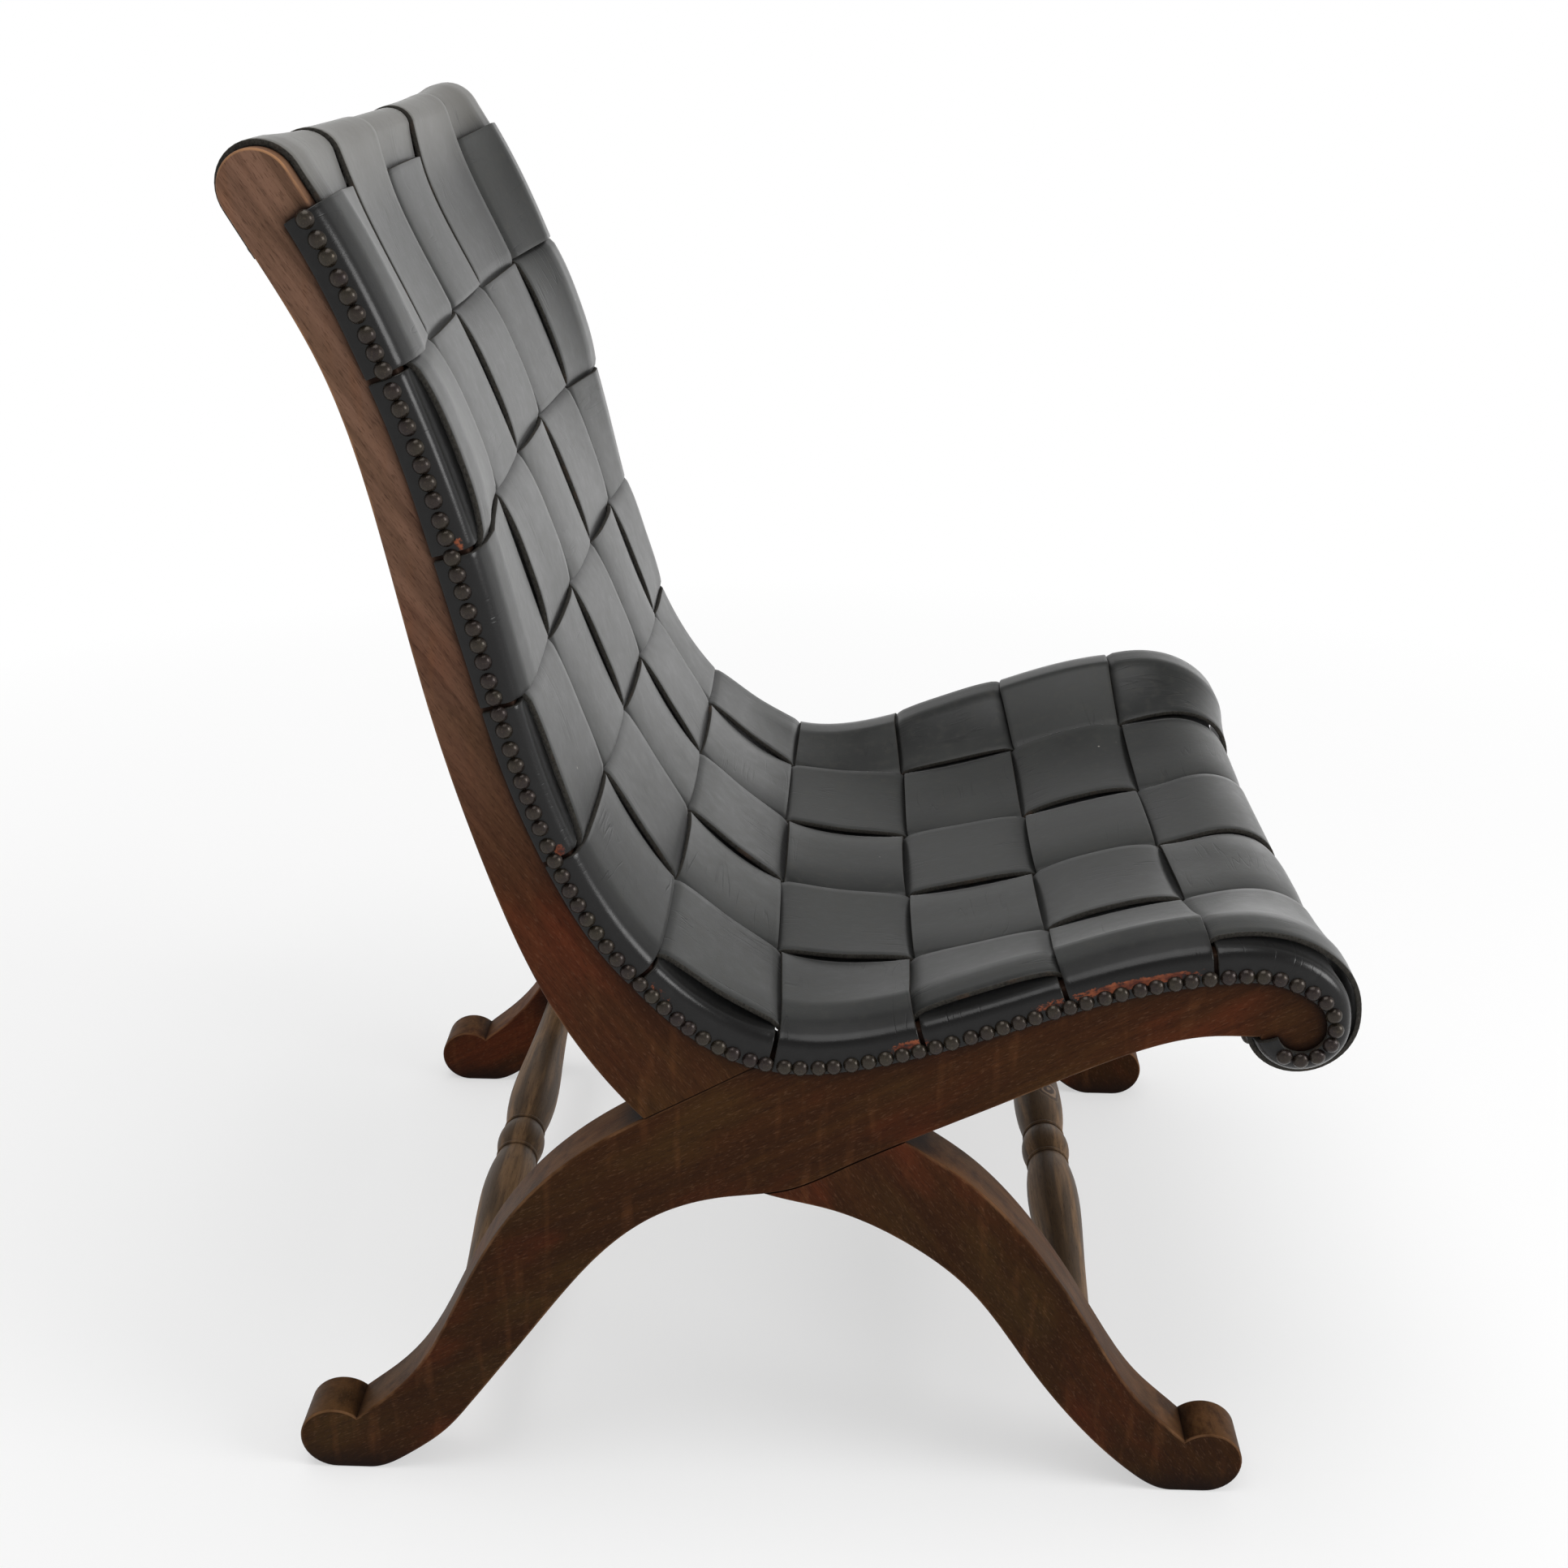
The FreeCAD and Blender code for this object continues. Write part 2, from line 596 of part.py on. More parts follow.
def make_rail(label, centre, nails, add_section):
    """A rail with round tenons. add_section makes the sketch of its section at a place along X."""
    body = doc.addObject("PartDesign::Body", label + "_blank")
    inner = "-(Sizes.overall_width / 2 - Sizes.board_thickness)"
    tenons = circle_sketch(body, label + "_tenon_circle", centre, "Sizes.rail_tenon_diameter",
                           inner + " - Sizes.tenon_length")
    core = body.newObject("PartDesign::Pad", label + "_tenons")
    core.Profile = tenons
    core.setExpression("Length", "Sizes.overall_width - 2 * Sizes.board_thickness"
                                 " + 2 * Sizes.tenon_length")
    shaft = body.newObject("PartDesign::Pad", label + "_shaft")
    shaft.Profile = add_section(body, label + "_section", inner)
    shaft.setExpression("Length", "Sizes.overall_width - 2 * Sizes.board_thickness")
    holes = [pilot_at(spot, outward) for column in nails for spot, outward in column]
    drilled(label, body, holes)


def crest_section(body, label, start):
    return side_sketch(body, label, crest_outline(), start)


def round_section(body, label, start):
    return circle_sketch(body, label, FRONT_RAIL_CENTRE, "Sizes.front_rail_diameter", start)


def stretcher_profile():
    """Upper half of the turned stretcher, from one end to the other along X."""
    half_bead = size("stretcher_bead_length") / 2
    neck = size("stretcher_neck_diameter") / 2
    lip = size("stretcher_lip_diameter") / 2
    lip_length = size("stretcher_lip_length")
    bulb = size("stretcher_bulb_diameter") / 2
    end = size("stretcher_end_diameter") / 2
    tenon = size("stretcher_tenon_diameter") / 2
    bulb_place = size("stretcher_bulb_place")
    lip_end = half_bead + lip_length
    shoulder = INNER_FACE
    waist_shares = (0.35, 0.70)
    waist = [Vector(bulb_place + (shoulder - bulb_place) * share,
                    bulb + (end - bulb) * eased(((0, 0), (1, 1)), share), 0) for share in waist_shares]
    flank = [Vector(lip_end, neck, 0), Vector(bulb_place, bulb, 0)] + waist + [Vector(shoulder, end, 0)]
    tip = Vector(shoulder + size("tenon_length"), 0, 0)
    edge = Vector(tip.x, tenon, 0)
    root = Vector(shoulder, tenon, 0)

    def mirrored(place):
        return Vector(-place.x, place.y, 0)

    profile = [Part.Arc(Vector(-half_bead, neck, 0), Vector(0, size("stretcher_bead_diameter") / 2, 0),
                        Vector(half_bead, neck, 0))]
    for turn in (lambda place: place, mirrored):
        profile.append(Part.Arc(turn(Vector(half_bead, neck, 0)),
                                turn(Vector(half_bead + lip_length / 2, lip, 0)),
                                turn(Vector(lip_end, neck, 0))))
        profile.append(spline([turn(place) for place in flank]))
        profile.append(Part.LineSegment(turn(flank[-1]), turn(root)))
        profile.append(Part.LineSegment(turn(root), turn(edge)))
        profile.append(Part.LineSegment(turn(edge), turn(tip)))
    profile.append(Part.LineSegment(mirrored(tip), tip))
    return profile


def make_stretcher(label, centre):
    body = doc.addObject("PartDesign::Body", label)
    plane = next(f for f in body.Origin.OriginFeatures if f.Role == "XY_Plane")
    sketch = body.newObject("Sketcher::SketchObject", label + "_half_profile")
    sketch.AttachmentSupport = (plane, "")
    sketch.MapMode = "FlatFace"
    for curve in stretcher_profile():
        sketch.addGeometry(curve, False)
    turned = body.newObject("PartDesign::Revolution", label + "_turning")
    turned.Profile = sketch
    turned.ReferenceAxis = (sketch, ["H_Axis"])
    turned.Angle = 360
    body.Placement = Placement(world(centre, 0), Rotation())
    keep(label, body)


# Leather.
def strap_levels(column):
    """Runs of one long strap: start, end, underside and top side above the edge."""
    runs = [(-size("strap_tail"), row_starts[0] - GAP / 2, LOW_UNDER, LOW_OVER)]
    for row in ROWS:
        start = row_starts[row] + GAP / 2
        last = row == ROWS[-1]
        end = leather.length if last else row_starts[row + 1] - GAP / 2
        if cross_on_top(row, column):
            runs.append((start, end, LOW_UNDER, LOW_OVER))
        else:
            runs.append((start, end, HIGH_UNDER, HIGH_OVER))
    return runs


def joined_runs(runs, side, fall):
    """Edges of one side of a long strap, with a slope wherever it changes level."""
    edges = [leather.stretch(runs[0][0], runs[0][1], runs[0][side], fall)]
    for before, run in zip(runs, runs[1:]):
        edges.append(Part.makeLine(leather.lifted(before[1], before[side], fall),
                                   leather.lifted(run[0], run[side], fall)))
        edges.append(leather.stretch(run[0], run[1], run[side], fall))
    return edges


def make_long_strap(column):
    label = f"long_strap_{column + 1}"
    runs = strap_levels(column)
    sections = []
    for x in places_across(*column_edges(column)):
        fall = fall_at(x)
        sections.append(stood_at(closed_wire(joined_runs(runs, 3, fall), joined_runs(runs, 2, fall)), x))
    blank = shaped(label + "_blank", Part.makeLoft(sections, True, True))
    holes = [pilot_at(spot, outward) for spot, outward in TOP_NAILS[column] + FRONT_NAILS[column]]
    drilled(label, blank, holes)


def cross_sections(row):
    """Places across the chair where a cross strap changes, each with its underside there."""
    flap_back = FLAP_FACE - LEATHER
    rim = flap_back - ROOM
    steps = [(-FLAP_FACE, flap_level), (-flap_back, flap_level), (-rim, LOW_UNDER)]
    for column in COLUMNS:
        left, right = column_edges(column)
        level = HIGH_UNDER if cross_on_top(row, column) else LOW_UNDER
        if column == COLUMNS[0] and level == HIGH_UNDER:
            steps.append((left - ROOM - LEATHER, LOW_UNDER))
        steps += [(x, level) for x in places_across(left - ROOM, right + ROOM)]
        if column == COLUMNS[-1] and level == HIGH_UNDER:
            steps.append((right + ROOM + LEATHER, LOW_UNDER))
    return steps + [(rim, LOW_UNDER), (flap_back, flap_level), (FLAP_FACE, flap_level)]


def make_cross_strap(row):
    """A cross strap: a woven run from side to side, with a flap down each outer face."""
    label = f"cross_strap_{row + 1:02d}"
    last = row == ROWS[-1]
    start = row_starts[row] + GAP / 2
    end = leather.length if last else row_starts[row + 1] - GAP / 2
    sections = []
    for x, under in cross_sections(row):
        fall = fall_at(x)
        over = LOW_OVER if under is flap_level else under + LEATHER
        wire = closed_wire([leather.stretch(start, end, over, fall)],
                           [leather.stretch(start, end, under, fall)])
        sections.append(stood_at(wire, x))
    blank = shaped(label + "_blank", Part.makeLoft(sections, True, True))
    reach = size("nail_head_diameter")
    holes = [pilot_at(spot, outward) for side in (-1, 1) for spot, outward, along in side_nails(side)
             if start - reach < along < end + reach]
    if last:
        holes += [pilot_at(spot, outward) for column in FRONT_NAILS for spot, outward in column]
    drilled(label, blank, holes)


def make_nails():
    for label, side in (("right_side_nails", -1), ("left_side_nails", 1)):
        nails = [nail_at(spot, outward) for spot, outward, along in side_nails(side)]
        keep(label, shaped(label, Part.makeCompound(nails)))
    for label, groups in (("top_rail_nails", TOP_NAILS), ("front_rail_nails", FRONT_NAILS)):
        nails = [nail_at(spot, outward) for column in groups for spot, outward in column]
        keep(label, shaped(label, Part.makeCompound(nails)))


for is_right in (True, False):
    make_boards(is_right)
make_rail("top_rail", TOP_RAIL_CENTRE, TOP_NAILS, crest_section)
make_rail("front_rail", FRONT_RAIL_CENTRE, FRONT_NAILS, round_section)
make_stretcher("front_stretcher", FRONT_STRETCHER)
make_stretcher("rear_stretcher", REAR_STRETCHER)
for strap_column in COLUMNS:
    make_long_strap(strap_column)
for strap_row in ROWS:
    make_cross_strap(strap_row)
make_nails()
doc.recompute()

for thing in doc.Objects:
    if "Invalid" in thing.State or "Error" in thing.State:
        raise RuntimeError(f"{thing.Label} failed: {thing.State}")
for part in parts:
    if part.Shape.isNull() or not part.Shape.isValid():
        raise RuntimeError(f"{part.Label} has no valid shape")

os.makedirs("parts", exist_ok=True)
for part in parts:
    part.Shape.exportStep(f"parts/{part.Label}.step")
whole = FreeCAD.BoundBox()
for part in parts:
    whole.add(part.Shape.BoundBox)
print(f"{len(parts)} parts, {whole.XLength:.1f} wide, {whole.YMin:.2f} to {whole.YMax:.2f} deep,"
      f" {whole.ZMin:.2f} to {whole.ZMax:.2f} high")
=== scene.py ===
"""Low X-framed chair with a woven leather seat and back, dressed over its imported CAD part."""

import math

import bpy
import numpy as np
from mathutils import Matrix, Vector


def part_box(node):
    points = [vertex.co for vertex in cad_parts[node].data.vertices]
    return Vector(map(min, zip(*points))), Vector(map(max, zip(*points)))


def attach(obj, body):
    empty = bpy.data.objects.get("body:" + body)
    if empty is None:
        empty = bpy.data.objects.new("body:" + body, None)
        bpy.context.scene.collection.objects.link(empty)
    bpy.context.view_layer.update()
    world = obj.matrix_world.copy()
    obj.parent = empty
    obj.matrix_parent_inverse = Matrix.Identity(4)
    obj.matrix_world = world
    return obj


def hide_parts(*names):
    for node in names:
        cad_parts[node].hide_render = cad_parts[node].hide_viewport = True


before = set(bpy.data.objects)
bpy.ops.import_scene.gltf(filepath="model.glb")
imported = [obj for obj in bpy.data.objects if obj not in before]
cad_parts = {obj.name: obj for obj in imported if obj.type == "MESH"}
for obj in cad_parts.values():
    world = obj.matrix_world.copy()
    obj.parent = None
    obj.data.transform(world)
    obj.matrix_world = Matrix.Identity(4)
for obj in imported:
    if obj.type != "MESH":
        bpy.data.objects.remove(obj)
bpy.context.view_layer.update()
bpy.ops.object.select_all(action="DESELECT")

MM = 0.001

# Sizes of the side frames, in metres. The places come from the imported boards.
post_low, post_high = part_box("right_back_post")
rail_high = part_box("right_seat_rail")[1]
OUTER_FACE = -post_low.x
INNER_FACE = -post_high.x
SIDE_HEIGHT = post_high.z
SIDE_DEPTH = 582 * MM
TOP_RADIUS = 18 * MM
FRONT_RADIUS = 22.5 * MM
FOOT_RADIUS = 21 * MM
FOOT_SHARE = 0.4416
MIDDLE = rail_high.y - FOOT_RADIUS - FOOT_SHARE * SIDE_DEPTH

# The edge that the leather follows, from back to front, as shares of the side frame's depth and height.
EDGE_SHARES = (
    (0.3601, 0.9661), (0.3007, 0.8678), (0.2524, 0.7540), (0.2216, 0.6497), (0.1773, 0.5410),
    (0.1077, 0.4541), (-0.0052, 0.3981), (-0.1352, 0.4093), (-0.2637, 0.4453), (-0.3971, 0.4741),
    (-0.4485, 0.4741), (-0.4948, 0.4594), (-0.5163, 0.4395),
)
TOP_SCROLL_SHARE = 0.4038
FRONT_SCROLL_SHARES = (-0.4828, 0.4169)
TOP_ARC = (-30, 150)
FRONT_ARC = (180, 340)

# The weave: where rows end and columns part, as shares of the leather's length and the chair's width.
ROW_SHARES = (0.0767, 0.1619, 0.2555, 0.3385, 0.4273, 0.5071, 0.5897, 0.6697, 0.7519, 0.8351, 1.0)
COLUMN_SHARES = (0.212, 0.418, 0.620, 0.822)
# How far the rows have crept up in the middle of the chair, and how much of it each row has.
ROW_DRIFT = 8 * MM
ROW_DRIFT_SHARES = (0.35, 0.0, 0.6, 0.1, 0.4, 0.1, 0.4, 0.65, 0.85, 0.4, 0.0)
# How deep the leather hangs between the side frames, and how much of it at each share of its length.
SEAT_SAG = 35 * MM
SAG_SHARES = (
    (0.0, 0.0), (0.005, 0.0), (0.01, 0.01), (0.02, 0.06), (0.03, 0.11), (0.04, 0.145), (0.05, 0.2),
    (0.06, 0.3), (0.0767, 0.48), (0.1, 0.6), (0.1619, 0.54), (0.2555, 0.37), (0.3385, 0.1), (0.4273, -0.07),
    (0.5071, -0.03), (0.5897, 0.2), (0.6697, 0.68), (0.7519, 0.96), (0.82, 1.0), (0.86, 0.88),
    (0.885, 0.62), (0.91, 0.35), (0.93, 0.195), (0.95, 0.125), (0.97, 0.045), (0.988, 0.0), (1.0, 0.0),
)
SAG_POWER = 3.5
SAG_SKEW = 0.22
# How far below the edge the nails sit, how far the flap reaches past them, and how much of it at each share.
NAIL_INSET = 10 * MM
NAIL_INSET_SHARES = (
    (0.0, 0.45), (0.08, 0.5), (0.17, 0.6), (0.26, 0.85), (0.38, 0.8), (0.50, 1.0), (0.575, 1.4),
    (0.66, 1.1), (0.74, 1.05), (0.83, 1.25), (0.88, 1.1), (0.94, 0.6), (1.0, 0.5),
)
FLAP_MARGIN = 10 * MM
FLAP_MARGIN_SHARES = ((0.0, 1.0), (0.26, 0.95), (0.36, 0.8), (0.46, 0.55), (0.56, 0.4), (1.0, 0.4))
# The straps. LOW and HIGH are the heights of their middle layer above the edge, under and over.
STRAP_TAIL = 25 * MM
THICKNESS = 3.0 * MM
LOW = 1.7 * MM
HIGH = 4.8 * MM
STRAP_GAP = 2.6 * MM
LEATHER_ROOM = 0.1 * MM
MESH_STEP = 3 * MM
# How a strap rises and falls between cells, and how round it is in the middle of a cell.
RAMP = 4.5 * MM
BULGE = 3.4 * MM
DIP = 1.6 * MM
CROWN_POWER = 3
SWELL_RANGE = (0.8, 1.3)
CHANCE_SEED = 11
# The roll at the top of the back.
FIRST_RISE = 64 * MM
FIRST_BULGE = 0.6 * MM
# The rims, where the cross straps turn down over the side frames.
RIM_WIDTH = 9 * MM
RIM_RAMP = 8 * MM
RIM_SHIFT = 3 * MM
RIM_BULGE_SHARE = 0.5
FOLD_RADIUS = 6 * MM
FOLD_STEPS = 6
# Where the black is rubbed off beside the nails: shares for the place and half its length, and how much.
RIGHT_RUB_SHARES = (
    (0.251, 0.004, 0.8), (0.423, 0.004, 1.0), (0.52, 0.010, 0.6), (0.663, 0.012, 0.9), (0.742, 0.012, 0.75),
    (0.79, 0.038, 1.0),
)
LEFT_RUB_SHARES = ((0.338, 0.005, 0.8), (0.48, 0.008, 0.7), (0.62, 0.016, 0.9), (0.73, 0.022, 1.0))
RUB_LOW = 1.5 * MM
RUB_HIGH = 7.5 * MM
RUB_FADE = 0.6
# How wide the painted shade along the rims is, and how far the dust and painted sheen fade off the roll.
RIM_SHADE_WIDTH = 13 * MM
DUST_AND_SHEEN_FADE = 30 * MM
# The cut edges.
EDGE_ROUNDING = 0.5 * MM
EDGE_SEGMENTS = 2
SHARP_ANGLE = math.radians(50)

# From the chair's middle, the long straps end at RIM, and a cross strap runs to TURN and then folds down.
RIM = OUTER_FACE - RIM_WIDTH
TURN = OUTER_FACE + THICKNESS / 2 + LEATHER_ROOM - FOLD_RADIUS
FOLD = FOLD_RADIUS * math.pi / 2
FLAP = NAIL_INSET * max(share for _, share in NAIL_INSET_SHARES) + FLAP_MARGIN - FOLD_RADIUS


def direction(angle):
    """Unit vectors in the side view, at angles in degrees."""
    turned = np.radians(angle)
    return np.stack([np.cos(turned), np.sin(turned)], axis=-1)


def spline_slopes(stations, values, first=None, last=None):
    """Slopes of the smooth curve through values at stations, natural where no end slope is given."""
    count = len(stations)
    gaps = np.diff(stations)
    steps = np.diff(values, axis=0) / gaps[:, None]
    matrix = np.zeros((count, count))
    right = np.zeros(values.shape)
    for row in range(1, count - 1):
        before = gaps[row - 1]
        after = gaps[row]
        matrix[row, row - 1:row + 2] = after, 2 * (before + after), before
        right[row] = 3 * (after * steps[row - 1] + before * steps[row])
    matrix[0, :2] = (1, 0) if first is not None else (2, 1)
    right[0] = first if first is not None else 3 * steps[0]
    matrix[-1, -2:] = (0, 1) if last is not None else (1, 2)
    right[-1] = last if last is not None else 3 * steps[-1]
    return np.linalg.solve(matrix, right)


class Curve:
    """Smooth curve through values at stations."""

    def __init__(self, stations, values, first=None, last=None):
        self.stations = np.asarray(stations, float)
        self.values = np.asarray(values, float).reshape(len(self.stations), -1)
        self.slopes = spline_slopes(self.stations, self.values, first, last)

    def at(self, places):
        places = np.clip(places, self.stations[0], self.stations[-1])
        index = np.clip(np.searchsorted(self.stations, places) - 1, 0, len(self.stations) - 2)
        gap = (self.stations[index + 1] - self.stations[index])[..., None]
        share = (places - self.stations[index])[..., None] / gap
        rest = 1 - share
        start = self.values[index]
        end = self.values[index + 1]
        return (start * rest * rest * (1 + 2 * share) + end * share * share * (1 + 2 * rest)
                + gap * share * rest * (self.slopes[index] * rest - self.slopes[index + 1] * share))


class LeatherLine:
    """The edge under the leather, measured from the back of the top scroll to under the front scroll.

    A length below zero is on the straight tail, below the top scroll.
    """

    SAMPLES = 3000
    TAIL_SAMPLES = 20

    def __init__(self):
        size = np.array([SIDE_DEPTH, SIDE_HEIGHT])
        origin = np.array([MIDDLE, 0])
        top = origin + [TOP_SCROLL_SHARE * SIDE_DEPTH, SIDE_HEIGHT - TOP_RADIUS]
        front = origin + np.array(FRONT_SCROLL_SHARES) * size
        inner = origin + np.array(EDGE_SHARES) * size
        first = top + direction(TOP_ARC[1]) * TOP_RADIUS
        last = front + direction(FRONT_ARC[0]) * FRONT_RADIUS
        points = np.vstack([first, inner, last])
        chords = np.r_[0, np.cumsum(np.linalg.norm(np.diff(points, axis=0), axis=1))]
        edge = Curve(chords, points, direction(TOP_ARC[1] + 90), np.array([0.0, -1.0]))
        top_run = top + direction(np.linspace(*TOP_ARC, self.SAMPLES)) * TOP_RADIUS
        front_run = front + direction(np.linspace(*FRONT_ARC, self.SAMPLES)) * FRONT_RADIUS
        middle_run = edge.at(np.linspace(0, chords[-1], self.SAMPLES))
        tail = np.linspace(STRAP_TAIL, 0, self.TAIL_SAMPLES)[:, None]
        tail_run = top_run[0] - direction(TOP_ARC[0] + 90) * tail
        self.line = np.vstack([tail_run[:-1], top_run[:-1], middle_run, front_run[1:]])
        steps = np.linalg.norm(np.diff(self.line, axis=0), axis=1)
        self.along = np.r_[0, np.cumsum(steps)] - STRAP_TAIL
        slope = np.gradient(self.line, self.along, axis=0)
        slope /= np.linalg.norm(slope, axis=1)[:, None]
        self.outward = np.stack([slope[:, 1], -slope[:, 0]], axis=1)
        self.length = self.along[-1]
        self.sag_curve = Curve(*zip(*SAG_SHARES))

    def place(self, along):
        """Points on the edge and directions away from the wood, in the side view."""
        spots = [np.interp(along, self.along, self.line[:, axis]) for axis in (0, 1)]
        away = [np.interp(along, self.along, self.outward[:, axis]) for axis in (0, 1)]
        return np.stack(spots, axis=-1), np.stack(away, axis=-1)

    def sag(self, along, across):
        """How far the leather hangs below the side frames' edges."""
        depth = SEAT_SAG * self.sag_curve.at(np.maximum(along, 0) / self.length)[..., 0]
        reach = np.clip(across / INNER_FACE, -1, 1)
        return depth * (1 - np.abs(reach) ** SAG_POWER) * (1 + SAG_SKEW * reach)


leather = LeatherLine()
ROWS = np.array(ROW_SHARES) * leather.length
COLUMNS = (np.array((0,) + COLUMN_SHARES + (1,)) - 0.5) * 2 * OUTER_FACE
chance = np.random.default_rng(CHANCE_SEED)


def eased(table, shares):
    """Value at each share, between a table's entries, with a smooth step from one to the next."""
    places, values = np.array(table).T
    index = np.clip(np.searchsorted(places, shares) - 1, 0, len(places) - 2)
    step = np.clip((shares - places[index]) / (places[index + 1] - places[index]), 0, 1)
    return values[index] + (values[index + 1] - values[index]) * step * step * (3 - 2 * step)


def ramp(distance, half_width):
    """Smooth rise from 0 to 1 across a place."""
    share = np.clip(distance / half_width * 0.5 + 0.5, 0, 1)
    return share * share * (3 - 2 * share)


def row_edge(number, across):
    """Where a row begins along the leather. In the middle of the chair the rows have crept upwards."""
    reach = np.clip(across / OUTER_FACE, -1, 1)
    return ROWS[number] - ROW_DRIFT * ROW_DRIFT_SHARES[number] * (1 - reach ** 2)


def crowned(along, start, end):
    """A cell's roundness: 0 at its ends and 1 in its middle."""
    share = np.clip((along - start) / (end - start), 0, 1)
    return 1 - np.abs(2 * share - 1) ** CROWN_POWER


def woven_height(along, bounds, on_top, swell):
    """Height of a strap's middle above the edge, as it goes over and under the straps that cross it."""
    height = np.full(along.shape, HIGH if on_top[0] else LOW)
    for cell in range(1, len(on_top)):
        rise = (HIGH - LOW) * (int(on_top[cell]) - int(on_top[cell - 1]))
        height += rise * ramp(along - bounds[cell], RAMP)
    for cell, top in enumerate(on_top):
        crown = crowned(along, bounds[cell], bounds[cell + 1])
        height += crown * (BULGE * swell[cell] if top else -DIP)
    return height


def stations(start, end, step):
    """Evenly spaced places from start to end, at most a step apart."""
    return np.linspace(start, end, max(2, math.ceil((end - start) / step)) + 1)


def lattice(name, across, along):
    """Grid mesh with one column for each place across and one row for each place along."""
    bpy.ops.mesh.primitive_grid_add(x_subdivisions=len(across) - 1, y_subdivisions=len(along) - 1, size=2)
    strap = bpy.context.object
    strap.name = name
    strap.data.name = name
    strap.data.materials.append(STRAP_LEATHER)
    strap.data.materials.append(CUT_LEATHER)
    flat = np.zeros(len(strap.data.vertices) * 3)
    strap.data.vertices.foreach_get("co", flat)
    flat = flat.reshape(-1, 3)
    column = np.rint((flat[:, 0] + 1) / 2 * (len(across) - 1)).astype(int)
    row = np.rint((flat[:, 1] + 1) / 2 * (len(along) - 1)).astype(int)
    return strap, column, row


def mark(strap, name, amounts):
    """Keeps an amount for each point, which the leather's finish reads by name."""
    strap.data.attributes.new(name, "FLOAT", "POINT").data.foreach_set("value", amounts.astype(float))


def rubbed(side, along, height):
    """How far the black is rubbed off beside the nails, from 0 to 1."""
    above_nails = height + NAIL_INSET * eased(NAIL_INSET_SHARES, along / leather.length)
    band = ramp(above_nails - RUB_LOW, RUB_LOW) * (1 - ramp(above_nails - RUB_HIGH, RUB_LOW))
    amount = np.zeros(along.shape)
    for spots, their_side in ((RIGHT_RUB_SHARES, -1), (LEFT_RUB_SHARES, 1)):
        for place_share, length_share, strength in spots:
            away = np.abs(along / leather.length - place_share) / length_share
            amount = np.maximum(amount, strength * (side == their_side) * (1 - ramp(away - 1, RUB_FADE)))
    return amount * band


def lay(strap, places, across, along):
    """Moves the grid's points to their places and maps the leather's grain by real length."""
    mesh = strap.data
    mesh.vertices.foreach_set("co", places.ravel())
    corner = np.zeros(len(mesh.loops), int)
    mesh.loops.foreach_get("vertex_index", corner)
    chart = np.stack([across[corner], along[corner]], axis=1)
    mesh.uv_layers[0].data.foreach_set("uv", chart.ravel())
    mesh.update()


def thicken(strap):
    """Gives a strap its thickness, with cut edges of their own material and slightly rounded."""
    bpy.ops.object.select_all(action="DESELECT")
    strap.select_set(True)
    bpy.context.view_layer.objects.active = strap
    wall = strap.modifiers.new("thickness", "SOLIDIFY")
    wall.thickness = THICKNESS
    wall.offset = 0
    wall.material_offset_rim = 1
    wall.use_even_offset = True
    bpy.ops.object.modifier_apply(modifier=wall.name)
    edge = strap.modifiers.new("cut_edge", "BEVEL")
    edge.width = EDGE_ROUNDING
    edge.segments = EDGE_SEGMENTS
    edge.limit_method = "ANGLE"
    edge.angle_limit = SHARP_ANGLE
    bpy.ops.object.modifier_apply(modifier=edge.name)
    bpy.ops.object.shade_smooth_by_angle(angle=SHARP_ANGLE)
    strap.select_set(False)


def woven_places(across, along, height):
    """Points of the leather at places across and along the chair, at heights above the edge."""
    spot, outward = leather.place(along)
    lifted = spot + outward * (height - leather.sag(along, across))[:, None]
    return np.column_stack([across, lifted])


def over_the_roll(run, bounds):
    """How much the first cell's height differs on a long strap that comes over the roll on top."""
    half = (bounds[1] - bounds[0] + FIRST_RISE) / 2
    summit = bounds[1] - half
    rise = ramp(run - summit + half / 2, half / 2)
    crown = crowned(run, summit - half, bounds[1])
    return FIRST_BULGE * np.where(run < summit, rise, crown) - (HIGH - LOW) * (1 - rise)


def long_strap(number):
    """One of the five straps that run from behind the top rail to under the seat's front."""
    start = max(COLUMNS[number] + STRAP_GAP / 2, -RIM)
    end = min(COLUMNS[number + 1] - STRAP_GAP / 2, RIM)
    across = stations(start, end, 2 * MESH_STEP)
    along = stations(-STRAP_TAIL, leather.length, MESH_STEP)
    strap, column, row = lattice(f"strap_long_{number + 1}", across, along)
    x = across[column]
    run = along[row]
    bounds = [row_edge(cell, x) for cell in range(len(ROWS))]
    on_top = [(cell + number) % 2 == 1 for cell in range(len(ROWS) - 1)]
    swell = chance.uniform(*SWELL_RANGE, len(on_top))
    if on_top[0]:
        swell[0] = 0
    height = woven_height(run, bounds, on_top, swell)
    if on_top[0]:
        height += over_the_roll(run, bounds)
    lay(strap, woven_places(x, run, height), x, run + number)
    # Dust and painted sheen over the roll, fading out by the first row.
    mark(strap, "dust_and_light", ramp(run, DUST_AND_SHEEN_FADE / 2) * (1 - ramp(run - bounds[0], DUST_AND_SHEEN_FADE)))
    thicken(strap)
    return strap


def folded_stations():
    """Places along a cross strap, with finer steps in the folds and 0 in the chair's middle."""
    middle = stations(-TURN, TURN, MESH_STEP)
    fold_run = stations(0, FOLD, FOLD / FOLD_STEPS)[1:]
    flap_run = FOLD + stations(0, FLAP, MESH_STEP)[1:]
    outer = TURN + np.r_[fold_run, flap_run]
    return np.r_[-outer[::-1], middle, outer]


